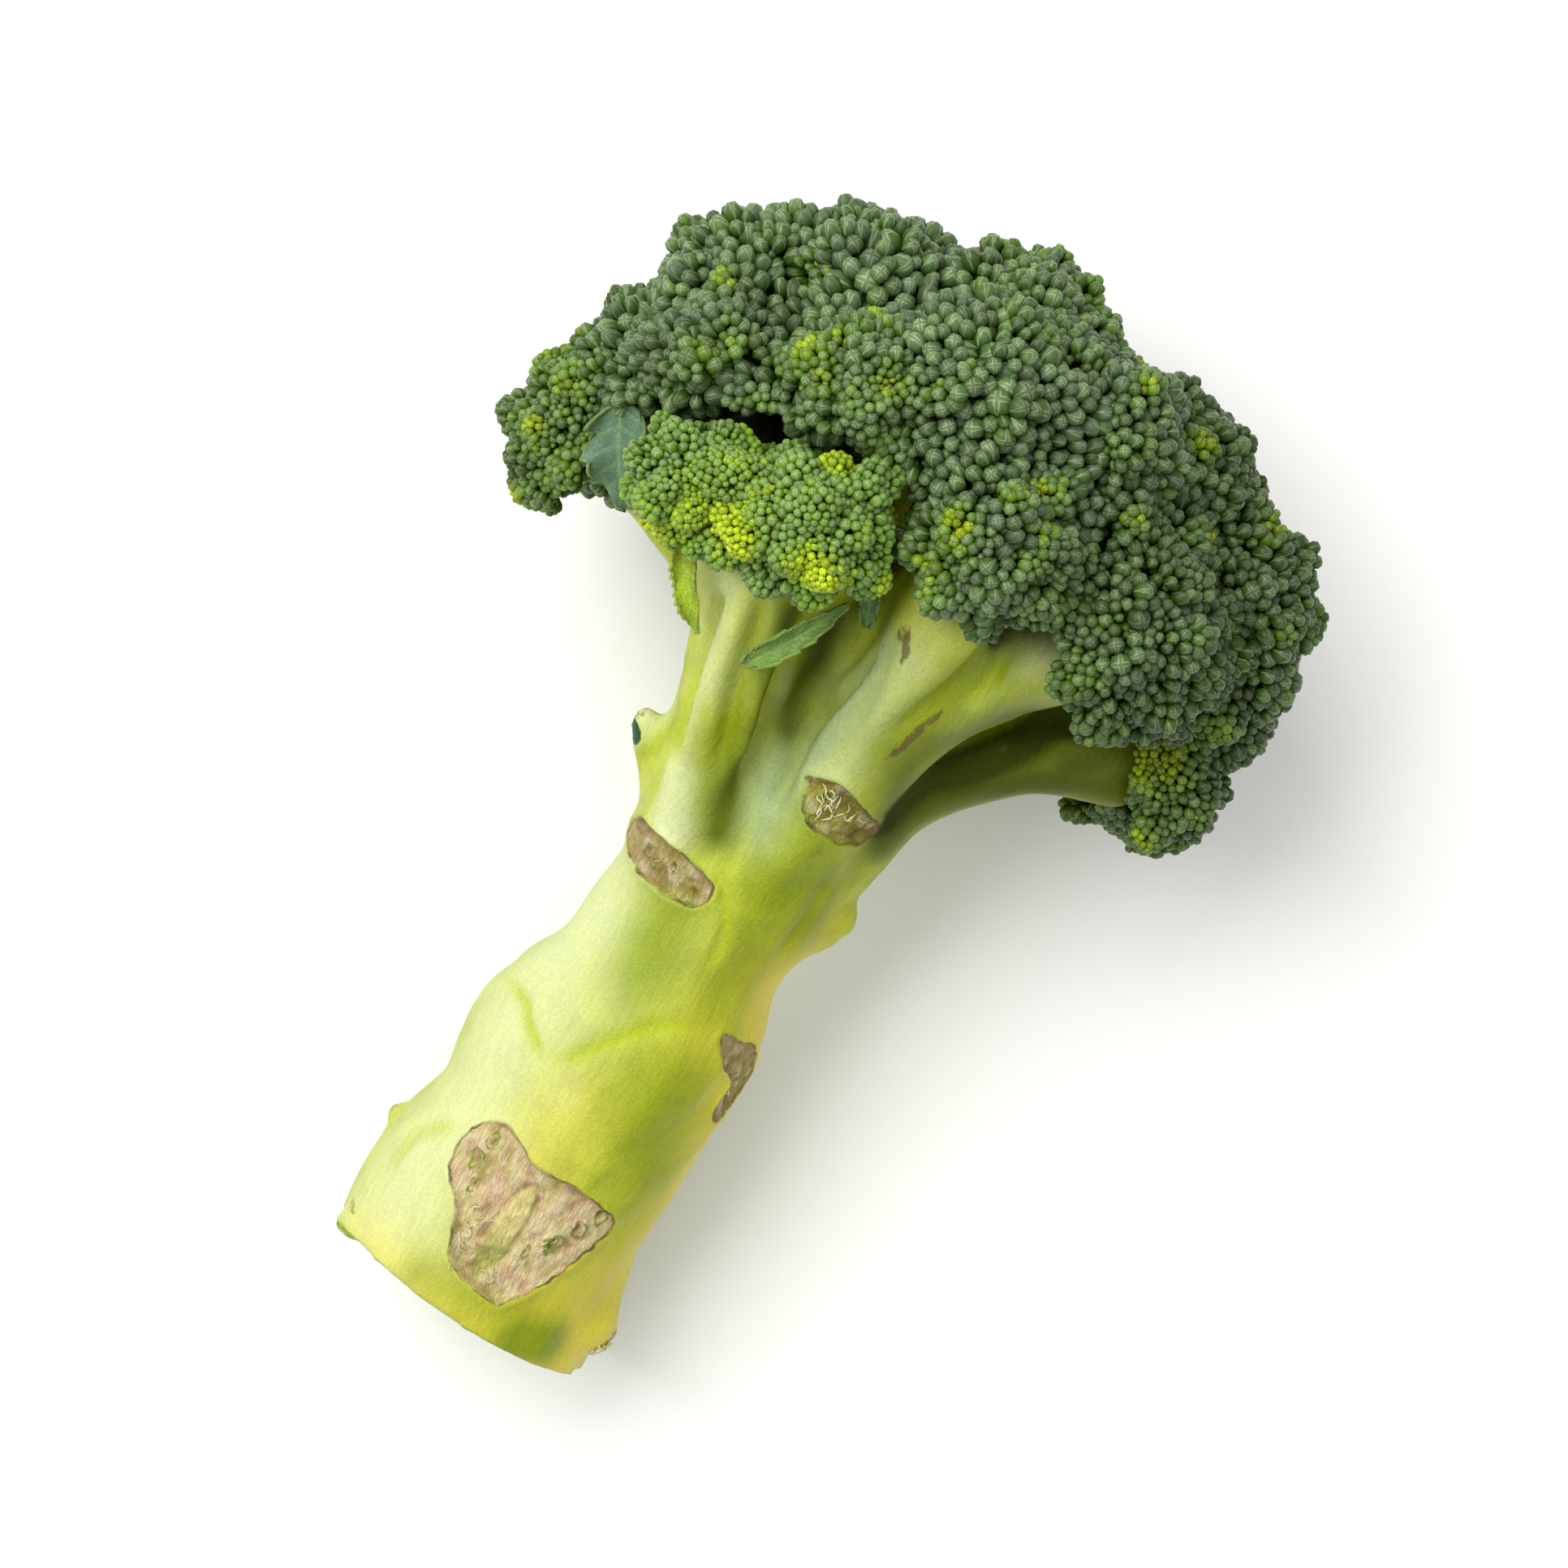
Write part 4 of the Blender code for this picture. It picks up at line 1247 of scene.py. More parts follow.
SCARS = (
    Scar(
        (
            (-59.6, 9, 45), (-59.9, 6.6, 46), (-62.4, 0.9, 46.3), (-62.3, -5.1, 45.1), (-63.4, -10.8, 41.5),
            (-65.4, -12.2, 40), (-68.6, -11.3, 39.8), (-75.6, -8.6, 40.3),
            (-82.2, -4.3, 41.9), (-82.7, -1.6, 42.4),
            (-80.9, 4.9, 43.3), (-77.8, 6.9, 43.4), (-73, 8.7, 43.8),
            (-69.2, 12, 42.8), (-64.8, 12.6, 42.7),
            (-61.4, 11.4, 43.8),
        ),
        0.0,
        (
            (-71.5, -6.4, 42.7, 1.5), (-67.6, -8.5, 42.2, 1.2),
            (-64.4, -10.3, 41.6, 1.2), (-65.7, 9.6, 44.2, 1.2),
            (-69.3, 8.1, 44.4, 1), (-62.6, 8.9, 44.8, 1.1), (-74.4, -3.6, 44, 0.8),
        ),
        ((-67.4, 0.1, 45.4), (-79.6, 1.1, 43.3)),
    ),
    Scar(
        (
            (-11.7, 12.8, 51), (-12.5, 8.8, 53.4), (-13.3, 5, 53.5), (-13.9, 1.7, 53), (-15.2, -0.8, 52.8),
            (-17.6, -0.9, 52.2), (-19.4, 1.4, 51.4), (-19.4, 6.4, 50.2), (-18.4, 10.2, 49), (-16, 13.4, 47),
            (-13.2, 14, 48),
        ),
        0.6,
        ((-17.6, 1.3, 52, 1.2), (-15.9, 10.6, 51, 0.8), (-17, 8.8, 51, 0.7), (-15.6, 5.6, 52, 0.6)),
    ),
    Scar(
        (
            (4.9, -5.2, 60.3), (6.4, -9.3, 61.3), (5, -13.4, 57.9), (4.2, -16.2, 53.8), (2.6, -17, 50.5),
            (0.4, -15.9, 52.6), (-0.7, -13.7, 54.8), (-1, -11.2, 56.3),
            (-0.2, -7.2, 58.5), (2.6, -5.8, 59.8),
        ),
        1.0,
        ((0.6, -8.4, 58.4, 1.3), (1.6, -14.6, 54, 0.9), (3.4, -8.2, 60, 0.9)),
    ),
    Scar(
        (
            (-33, -12, 46.4), (-32.5, -14.9, 44), (-32.5, -17.6, 39.6),
            (-34.6, -19.4, 33.4), (-38, -19.5, 32),
            (-42, -19.2, 34), (-44.9, -17.4, 38.6), (-42.3, -16.6, 40.4),
            (-38.6, -16.8, 40.6), (-36.7, -14.3, 44.6),
        ),
        0.55,
        ((-36.5, -17.6, 38, 1.1), (-41.5, -18.2, 37, 0.9)),
    ),
)
LUMPS = 0.55  # how high the lumps of a scar's flesh are
SCAR_MARGIN = 4.0  # how far round a scar the skin is looked at
SCAR_CORE = 7.0  # how near its middle the skin gives the way that it faces
SCAR_REACH = 6.0  # how far above or below its plane a scar can lie
EDGE_WOBBLE = 0.15  # how far a scar's edge strays from its rounded outline
PIT_STRETCH = (1.15, 0.7)  # the ends of the veins are longer along the stalk
SCAR_CUTS = 2  # how often each edge in a scar is cut
SCAR_DEPTH = 0.6  # how far a scar lies below the skin
RIM_HEIGHT = 0.35  # how far the skin's torn edge stands out round it

# Patches of skin: what they look like, their radius, their strength, and the points that they run through.
# Shade patches are painted shade; some deep, pale and straw ones are partly painted shade, highlights and
# bounce light
PATCHES = (
    # Pale skin, partly painted highlights along the flank and the front branches
    ("pale", 13, 0.85, ((-80, 16, 38), (-58, 15, 42), (-38, 13.5, 42), (-26, 11, 43))),
    ("pale", 5, 0.5, ((-52, 4, 48.5), (-42, 7.5, 48.5), (-32, 5, 49.5))),
    ("pale", 4, 1.2, ((-11, 9, 55.4), (-4, 10.8, 58.4))),
    ("pale", 2.4, 0.8, ((-4, 10.8, 58.4), (6, 13.4, 62.5), (14, 14.8, 67), (21, 15.8, 72))),
    ("pale", 2, 0.5, ((10, 9.6, 67.4), (17, 10.6, 71.8), (24, 12, 77))),
    ("pale", 4, 0.55, ((4, -7.4, 60), (14, -8.6, 64.4), (26, -9.6, 71))),
    ("pale", 3, 0.5, ((20, -18.5, 63.5), (28, -24, 64), (34, -28, 64.5))),
    ("pale", 3, 0.35, ((-50, -19.5, 30), (-60, -20, 28), (-74, -20, 26))),
    ("green", 7, 0.75, ((-43, -8, 48.2), (-50, -11, 45.5), (-56, -14.5, 41))),
    ("green", 6, 0.9, ((-22, 3, 51), (-31, 1.8, 49))),
    ("green", 6, 0.7, ((-16, -9, 49), (-28, -9, 47.5))),
    ("green", 5.5, 0.95, ((-2, -10, 54), (-12, -9, 52.5))),
    ("green", 4.5, 1.2, ((-86, -8.5, 39), (-84.5, -12.5, 36))),
    ("green", 3.5, 0.6, ((-84, 8, 41.5), (-84, -4, 41))),
    ("green", 7, 0.3, ((-62, -17, 34), (-76, -16, 32))),
    ("green", 3, 0.6, ((8, 9, 66), (18, 9.4, 72), (25, 9.6, 76))),
    ("deep", 2.5, 1.1, ((-8, 2.6, 54.6), (2.5, 5.4, 60.2), (10, 6.8, 64.8), (17.5, 7.6, 69), (24, 8, 73))),
    ("blue", 5, 0.85, ((-4, -1, 55.4), (3, -0.8, 57.4), (8, -2.4, 60), (14, -4.2, 63), (20, -5, 66))),
    ("blue", 2.6, 0.7, ((12, -0.6, 60), (18, -0.8, 62), (24, -1, 64), (29, -1, 67))),
    ("blue", 1.6, 0.6, ((6, 3.4, 60), (11.5, 4, 62), (16, 4.6, 64))),
    # Painted shade, in the shade and deep patches: the cleft between the front branches, and the end of the
    # lowest right branch
    ("shade", 2.2, 0.95, ((27, 4, 67), (21, 2.6, 63), (15, 1.6, 61), (9.5, 0.8, 60))),
    ("deep", 3.2, 1, ((27, 4, 67), (21, 2.8, 63), (15, 1.8, 61), (9.5, 0.8, 60))),
    ("deep", 6, 1, ((20, -34, 49.5), (24, -42, 48), (29, -45, 47), (34, -46, 46))),
    ("shade", 5, 0.45, ((18, -30, 50), (24, -37, 49.5), (28, -42, 49))),
    ("deep", 4, 0.5, ((-13.6, -15.8, 46), (-8, -14.5, 49.5))),
    ("deep", 5, 1, ((24, -36, 50.5), (29, -40.5, 51), (31, -43, 49))),
    ("shade", 4, 0.5, ((24, -36, 50.5), (29, -40.5, 51), (31, -43, 49))),
    # Pale skin, partly painted highlights on the front branches
    ("pale", 4.5, 0.75, ((38, -25, 67), (34, -21.5, 67.5), (28, -18.5, 66))),
    ("pale", 4.5, 0.35, ((36, -10, 75), (30, -9.5, 72.5))),
    ("pale", 4.5, 0.65, ((23, 18.5, 73.5), (18.7, 17.4, 71), (10, 14, 66))),
    ("blue", 2.4, 0.9, ((-1, -2.6, 57), (6, -3, 59.5), (13, -3.6, 62.5), (20, -4.2, 66.5), (26, -5, 70))),
    ("pale", 3, 1, ((-80.5, -17, 31), (-80.5, -19, 27.5))),
    ("pale", 3, 0.9, ((2.5, 19.5, 50.5), (-1, 21, 48))),
    ("blue", 3.6, 0.6, ((6, -4.4, 59.6), (16, -5.4, 64.6), (26, -5.4, 70.4))),
    # Painted shade under the front right branch's overhang, on the lowest right branch
    (
        "shade", 3.4, 1.7,
        ((5, -16.5, 49.5), (9, -17.5, 50.5), (13, -20, 51.5), (18, -24, 50.5), (24, -28.5, 49.5),
         (29, -31, 48), (33, -38, 48)),
    ),
    # Painted shade on the lowest right branch and along the front right branch's lower edge
    ("deep", 4, 1.1, ((2, -18.5, 46), (10, -22.5, 48.5), (18, -30.5, 49), (22, -36, 49))),
    (
        "deep", 4, 0.85,
        ((5.9, -16.6, 50.5), (10.1, -16, 57.9), (16.8, -17, 61.5), (22.9, -21.2, 62.7), (28, -26, 62)),
    ),
    # Yellowed skin, partly painted bounce light on the lower flank
    ("straw", 11, 1.1, ((-86, -14, 33), (-62, -20, 28), (-42, -19, 32), (-25, -17, 36))),
    ("straw", 6, 0.4, ((-36, -9, 48), (-24, -11, 47))),
    ("green", 5, 0.9, ((2, 8, 62), (-4, 5, 58))),
    ("green", 5, 0.95, ((14, -12.5, 64), (24, -15, 67), (30, -20, 67))),
    ("straw", 8, 0.6, ((-88, 14, 36), (-88, 0, 41), (-88, -10, 36))),
    ("straw", 8, 0.35, ((-54, 0, 49), (-66, 3, 47))),
    ("brown", 0.9, 1.2, ((3.4, 20.2, 50.6), (1.2, 21, 50.4), (-0.8, 21.6, 49.6))),
    ("leafy", 1.5, 1.4, ((-1.6, 20.8, 49.4), (-2.2, 20, 49))),
    ("brown", 1.2, 0.9, ((-66.5, 24.5, 25.5), (-68, 25, 24))),
    ("brown", 0.6, 0.8, ((-83, 21, 34), (-81.2, 22.6, 29))),
    ("green", 3.6, 1.2, ((1.4, -7.6, 60), (0.8, -10.5, 58.5))),
    ("brown", 2.4, 1, ((-81, -21, 24.5), (-83, -20.4, 24))),
    ("brown", 1.6, 1, ((-9.2, -21.2, 35.4), (-9.6, -21.2, 34.6))),
    ("brown", 0.7, 0.8, ((29.4, -6, 73.4), (27.8, -6.6, 73))),
    ("brown", 1, 0.8, ((-3.4, -10.8, 55.8), (-4, -10.2, 55.6))),
    ("brown", 0.5, 0.8, ((3.8, 6.2, 61.8), (4.8, 5.8, 62))),
)
PATCH_KINDS = ("pale", "straw", "green", "deep", "blue", "shade", "brown", "leafy")

# Scratches that have dried brown: half width and points
SCRATCHES = (
    (0.9, ((22, -16.2, 65.4), (19.3, -15, 65.6), (15.6, -14, 63.8), (12.4, -12.8, 63.2))),
    (0.85, ((30, -6.6, 73.6), (28, -6.8, 73), (26.6, -7.6, 72.4), (24.6, -8, 71.4))),
    (0.75, ((29.6, -5, 73), (27.6, -5.4, 72.2), (26.4, -5, 71.2))),
    (0.55, ((26, -4.2, 69.6), (24.6, -4.4, 68.8))),
    (0.4, ((5.2, 5.6, 62.2), (4, 6.2, 61.8), (3.2, 6, 61.2))),
    (0.5, ((23.4, -27.4, 50.7), (22, -26.6, 50.7), (20.8, -27.2, 50.4))),
)


def smooth_line(points, steps, closed=False):
    """Points along a smooth curve through the points given."""
    points = np.array(points, float)
    if closed:
        points = np.concatenate([points[-1:], points, points[:2]])
    else:
        points = np.concatenate([2 * points[:1] - points[1:2], points, 2 * points[-1:] - points[-2:-1]])
    shares = np.arange(steps)[:, None] / steps
    line = []
    for a, b, c, d in zip(points, points[1:], points[2:], points[3:]):
        line.append(0.5 * (2 * b + (c - a) * shares + (2 * a - 5 * b + 4 * c - d) * shares**2
                           + (3 * b - a - 3 * c + d) * shares**3))
    line = np.concatenate(line)
    return line if closed else np.concatenate([line, points[-2:-1]])


def line_distance(points, line):
    """How far each point is from a line, and how far along it that is, from 0 to 1."""
    best = np.full(len(points), 1e9)
    along = np.zeros(len(points))
    for i, (start, end) in enumerate(zip(line, line[1:])):
        way = end - start
        share = np.clip(((points - start) @ way) / (way @ way), 0.0, 1.0)
        gap = np.linalg.norm(points - start - share[:, None] * way, axis=1)
        nearer = gap < best
        best[nearer] = gap[nearer]
        along[nearer] = (i + share[nearer]) / (len(line) - 1)
    return best, along


def near_some(points, around, reach):
    """The points within reach of any of the places around."""
    low, high = around.min(axis=0) - reach, around.max(axis=0) + reach
    return np.flatnonzero(((points > low) & (points < high)).all(axis=1))


def outline_depth(flat, outline):
    """How far inside a closed flat outline each flat point lies, in mm, with less than 0 outside."""
    ends = np.roll(outline, -1, axis=0)
    gap = np.full(len(flat), 1e9)
    crossings = np.zeros(len(flat), int)
    for start, end in zip(outline, ends):
        way = end - start
        share = np.clip(((flat - start) @ way) / max(way @ way, 1e-9), 0.0, 1.0)
        gap = np.minimum(gap, np.linalg.norm(flat - start - share[:, None] * way, axis=1))
        spans = (start[1] > flat[:, 1]) != (end[1] > flat[:, 1])
        rise = way[1] if abs(way[1]) > 1e-9 else 1e-9
        crossings += spans & (flat[:, 0] < start[0] + (flat[:, 1] - start[1]) / rise * way[0])
    return np.where(crossings % 2 == 1, gap, -gap)


def lumpiness(points, size):
    return np.array([mathutils_noise.noise(Vector(place)) for place in points / size])


def scar_plane(scar, points, normals):
    """The points near a scar, that scar's middle, the way it faces, and two directions across it."""
    near = near_some(points, scar.outline, SCAR_MARGIN)
    middle = scar.outline.mean(axis=0)
    close = near[np.linalg.norm(points[near] - middle, axis=1) < SCAR_CORE]
    up = unit(normals[close].mean(axis=0))
    near = near[(normals[near] @ up > 0.15) & (np.abs((points[near] - middle) @ up) < SCAR_REACH)]
    across = unit(np.cross(up, (1.0, 0.0, 0.0)))
    return near, middle, up, np.stack([across, np.cross(up, across)], axis=1)


def depth_in(scar, flat, middle, plane):
    """How far inside a scar's outline each flat point lies, with less than 0 outside."""
    outline = smooth_line((scar.outline - middle) @ plane, 5, closed=True)
    wobble = np.sin(flat[:, 0] * 1.3) * np.sin(flat[:, 1] * 1.1 + 1.0)
    return outline_depth(flat, outline) + EDGE_WOBBLE * wobble


def scar_fields(points, normals):
    """For each point of the skin the scars' figures for the material, and how far the scars shift it."""
    fields = {name: np.zeros(len(points)) for name in ("dry", "pit", "lump", "pith_end")}
    fields["scar"] = np.full(len(points), -3.0)
    fields["pith"] = np.full(len(points), -3.0)
    shift = np.zeros(len(points))
    for scar in SCARS:
        near, middle, up, plane = scar_plane(scar, points, normals)
        flat = (points[near] - middle) @ plane
        depth = depth_in(scar, flat, middle, plane)
        fields["scar"][near] = np.maximum(fields["scar"][near], depth)
        fields["dry"][near] = scar.dry
        inside = ease(depth, 0.0, 0.7)
        level = np.clip((points[near] - middle) @ up, -2.0, 2.0)
        lumps = lumpiness(points[near], 2.4) + 0.5 * lumpiness(points[near], 1.1)
        fields["lump"][near] = lumps * inside
        shift[near] -= (SCAR_DEPTH + 0.35 * level - LUMPS * lumps) * inside
        shift[near] += RIM_HEIGHT * np.exp(-(((depth + 0.4) / 0.6) ** 2))
        for x, y, z, radius in scar.pits:
            turned = (points[near] - (x, y, z)) @ plane
            gap = np.linalg.norm(turned * PIT_STRETCH, axis=1) / radius + 0.5 * lumpiness(points[near], 1.3)
            ring = np.exp(-((gap - 0.75) ** 2) / 0.04)
            hole = np.exp(-(gap**2) / 0.12)
            fields["pit"][near] += ring - hole
            shift[near] += 0.3 * ring - 0.8 * hole
        if scar.pith:
            ends = (np.array(scar.pith) - middle) @ plane
            gap, along = line_distance(flat, ends)
            pith = 0.9 + 1.4 * np.sin(math.pi * (0.2 + 0.6 * along)) - gap
            fields["pith"][near] = pith
            fields["pith_end"][near] = along
            shift[near] += (0.5 - 1.3 * ease(along, 0.5, 1.0)) * ease(pith, 0.0, 0.8)
            shift[near] -= 0.35 * np.exp(-((pith / 0.4) ** 2))
    return fields, shift


def split_scars(mesh):
    """Splits the faces in and round the scars, so that their small hollows show."""
    points, normals = vertices_of(mesh) / MM, normals_of(mesh)
    within = np.zeros(len(points), bool)
    for scar in SCARS:
        near, middle, _, plane = scar_plane(scar, points, normals)
        within[near[depth_in(scar, (points[near] - middle) @ plane, middle, plane) > -1.2]] = True
    form = bmesh.new()
    form.from_mesh(mesh)
    edges = [edge for edge in form.edges if within[edge.verts[0].index] and within[edge.verts[1].index]]
    bmesh.ops.subdivide_edges(form, edges=edges, cuts=SCAR_CUTS, use_grid_fill=True)
    form.to_mesh(mesh)
    form.free()


def knife_cut():
    """A point of the knife's cut, and the way it faces."""
    mesh = merged_copy("stalk")
    points, corners = vertices_of(mesh) / MM, triangles_of(mesh)
    bpy.data.meshes.remove(mesh)
    a, b, c = (points[corners[:, i]] for i in range(3))
    area = np.cross(b - a, c - a)
    flat = (unit(area)[:, 0] < -0.97) & (a[:, 0] < points[:, 0].min() + 8.0)
    weight = np.linalg.norm(area[flat], axis=1)[:, None]
    return ((a + b + c)[flat] / 3 * weight).sum(axis=0) / weight.sum(), unit(area[flat].sum(axis=0))


def share_out(points, middle, facing):
    """How far out each point lies from the middle of the cut, as a share of the way to its edge."""
    way = points - middle
    flat = way - np.outer(way @ facing, facing)
    reach = np.linalg.norm(flat, axis=1)
    turn = (np.arctan2(flat[:, 1], flat[:, 2]) / math.tau % 1.0 * EDGE_STEPS).astype(int)
    near = np.abs(way @ facing) < 2.0
    edge = np.array([reach[near & (turn == step)].max(initial=1.0) for step in range(EDGE_STEPS)])
    edge = (np.roll(edge, 1) + edge + np.roll(edge, -1)) / 3
    return np.minimum(reach / edge[turn], 2.0)


def smoothed_stalk(passes):
    form = joined_copy("stalk_form", ["stalk"])
    add_remesh(form, SKIN_GRAIN)
    add_smooth(form, passes)
    return evaluated_mesh(form)


def skin_waves(points):
    """Slow swells of the skin."""
    return np.array([mathutils_noise.noise(Vector(place)) for place in points / (9.0, 5.0, 5.0)])


def painted_shade_inside(mesh):
    """How much painted shade each point of the stalk gets, by how far the florets shut it in."""
    points, normals = vertices_of(mesh), normals_of(mesh)
    florets = searchable([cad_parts["floret_" + name].data for name in FLORETS])[0]
    inner = np.flatnonzero(points[:, 0] > SHUT_IN_X[0] * MM)
    dark = np.zeros(len(points))
    dark[inner] = ease(openness(points[inner], normals[inner], florets), *SHUT_IN)
    return dark * ease(points[:, 0] / MM, *SHUT_IN_X)


# Torn fibres: where, how far they spread, how many, their length and half width
FIBRES = (
    ((2.6, -9.6, 60.0), 1.7, 14, 3.8, 0.14),
    ((2.4, -12.4, 57.6), 1.4, 5, 2.8, 0.12),
    ((-77.5, 4.6, 44.0), 1.8, 8, 3.0, 0.11),
    ((-73.5, 5.5, 44.2), 1.8, 6, 2.6, 0.11),
    ((-79.5, -1.0, 43.2), 1.6, 6, 2.6, 0.11),
    ((-70.5, -6.0, 43.2), 2.6, 6, 2.0, 0.09),
    ((-16.0, 6.0, 52.0), 2.4, 5, 2.0, 0.09),
    ((-38.5, -17.5, 38.5), 2.0, 5, 2.0, 0.09),
    ((-82.5, -20.6, 25.5), 1.4, 12, 2.8, 0.22),
)
FIBRE_STEPS = 9


def fibre_line(start, normal, length, surface, random):
    """Points along a curly fibre that lies on the surface, in metres."""
    way = unit(np.cross(normal, random.normal(size=3)))
    bend = random.uniform(-1.3, 1.3)
    line = []
    place = start
    for step in range(FIBRE_STEPS):
        found, facing = surface.find_nearest(Vector(place))[:2]
        facing = np.array(facing)
        lift = 0.12 + 0.5 * math.sin(math.pi * step / (FIBRE_STEPS - 1)) * random.uniform(0.6, 1.0)
        line.append(np.array(found) + facing * lift * MM)
        side = np.cross(facing, way)
        way = unit(way + side * bend * random.uniform(0.1, 0.6))
        place = np.array(found) + way * length * MM / FIBRE_STEPS
    return np.array(line)


def make_fibres(mesh):
    """The torn fibres that stand out of the scars."""
    random = np.random.default_rng(settings().buds.seed)
    surface = searchable([mesh])[0]
    form = bmesh.new()
    for place, spread, count, length, half_width in FIBRES:
        for _ in range(count):
            found, facing = surface.find_nearest(Vector((place + random.normal(0.0, spread / 2, 3)) * MM))[:2]
            reach = length * random.uniform(0.6, 1.2)
            line = fibre_line(np.array(found), np.array(facing), reach, surface, random)
            ways = unit(np.gradient(line, axis=0))
            first, second = frames_about(ways)
            rings = []
            for step, (middle, x, y) in enumerate(zip(line, first, second)):
                thick = half_width * MM * (1 - 0.7 * abs(2 * step / (FIBRE_STEPS - 1) - 1) ** 2)
                corners = [middle + thick * (x * math.cos(turn) + y * math.sin(turn)) for turn in
                           (0.0, math.tau / 4, math.tau / 2, math.tau * 3 / 4)]
                rings.append([form.verts.new(corner) for corner in corners])
            for low, high in zip(rings, rings[1:]):
                for i in range(4):
                    form.faces.new((low[i], low[(i + 1) % 4], high[(i + 1) % 4], high[i]))
            form.faces.new(reversed(rings[0]))
            form.faces.new(rings[-1])
    made = bpy.data.meshes.new("torn_fibres")
    form.to_mesh(made)
    form.free()
    made.shade_smooth()
    made.materials.append(fibre_skin())
    piece = link("torn_fibres", made)
    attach(piece, "root")


def make_stalk():
    mesh, forked, crisp = (smoothed_stalk(passes) for passes in (SKIN_PASSES, FORK_PASSES, CRISP_PASSES))
    points, branches, edged = (vertices_of(form) / MM for form in (mesh, forked, crisp))
    middle, facing = knife_cut()
    from_cut = -(edged - middle) @ facing
    points += (branches - points) * ease(points[:, 0], *FORK_X)[:, None]
    near_edge = ease(from_cut, 2 * CRISP_REACH, CRISP_REACH)
    for x, y, z, radius in STUBS:
        gap = np.linalg.norm(edged - (x, y, z), axis=1)
        near_edge = np.maximum(near_edge, ease(gap, radius, radius * 0.5))
    points += (edged - points) * near_edge[:, None]
    mesh.vertices.foreach_set("co", (points * MM).astype(np.float32).ravel())
    split_scars(mesh)
    points, normals = vertices_of(mesh) / MM, normals_of(mesh)

    away = ease(-(points - middle) @ facing, 0.5, 4.0)
    shift = 0.3 * skin_waves(points) * away
    yellow = np.zeros(len(points))
    for half_width, depth, tint, line in GROOVES:
        line = smooth_line(line, 6)
        near = near_some(points, line, 4 * half_width)
        gap, along = line_distance(points[near], line)
        fade = ease(along, 0.0, 0.2) * ease(along, 1.0, 0.8)
        shift[near] -= depth * np.exp(-((gap / half_width) ** 2)) * fade
        shift[near] += 0.25 * depth * np.exp(-(((gap - 2 * half_width) / half_width) ** 2)) * fade
        yellow[near] = np.maximum(yellow[near], tint * np.exp(-((gap / (1.3 * half_width)) ** 2)) * fade)
    for place, radii, height in SWELLINGS:
        out = (((points - place) / radii) ** 2).sum(axis=1)
        shift += height * np.maximum(1 - out, 0.0) ** 2
    fields, scar_shift = scar_fields(points, normals)
    points += normals * (shift + scar_shift)[:, None]
    scratch = np.zeros(len(points))
    for half_width, line in SCRATCHES:
        line = smooth_line(line, 8)
        near = near_some(points, line, 4 * half_width)
        gap, along = line_distance(points[near], line)
        worn = half_width * (0.5 + 0.7 * np.sin(math.pi * along))
        strength = np.exp(-((gap / worn) ** 2)) + 0.4 * lumpiness(points[near], 1.1) * (gap < 2 * half_width)
        scratch[near] = np.maximum(scratch[near], strength)
    points[:, 2] = np.maximum(points[:, 2], 0.05)
    mesh.vertices.foreach_set("co", (points * MM).astype(np.float32).ravel())
    for name, values in fields.items():
        add_attribute(mesh, name, "FLOAT", values)
    add_attribute(mesh, "yellow", "FLOAT", yellow)
    add_attribute(mesh, "scratch", "FLOAT", scratch)
    add_attribute(mesh, "cut", "FLOAT", -(points - middle) @ facing)
    add_attribute(mesh, "out", "FLOAT", share_out(points, middle, facing))
    patches = {kind: np.zeros(len(points)) for kind in PATCH_KINDS}
    for kind, radius, amount, line in PATCHES:
        line = smooth_line(line, 4)
        near = near_some(points, line, 2.2 * radius)
        gap = line_distance(points[near], line)[0] / radius
        patches[kind][near] = np.maximum(patches[kind][near], amount * np.exp(-(gap**2)))
    for kind, strength in patches.items():
        add_attribute(mesh, kind, "FLOAT", np.minimum(strength, 1.0))
    # Painted shade inside the crown, from how much of the view out the florets shut off
    add_attribute(mesh, "dark", "FLOAT", painted_shade_inside(mesh))
    mesh.materials.clear()
    mesh.materials.append(stalk_skin())
    mesh.shade_smooth()
    make_fibres(mesh)
    piece = link("stalk_skin", mesh)
    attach(piece, "root")
    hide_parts("stalk")


# Leaves -------------------------------------------------------------------------------------------------


class Leaf:
    """A small leaf between the florets."""

    def __init__(self, base, tip, facing, width, arch, roll=0.0, teeth=9, tint=0.5, yellow=0.0):
        self.base, self.tip = np.array(base), np.array(tip)
        self.facing = unit(np.array(facing))  # the way the blade faces
        self.width = width
        self.arch = arch  # how far the blade arches over its length
        self.roll = roll  # turns that the blade rolls in at its edges
        self.teeth = teeth  # on each edge
        self.tint = tint  # 0 for dark and 1 for light
        self.yellow = yellow


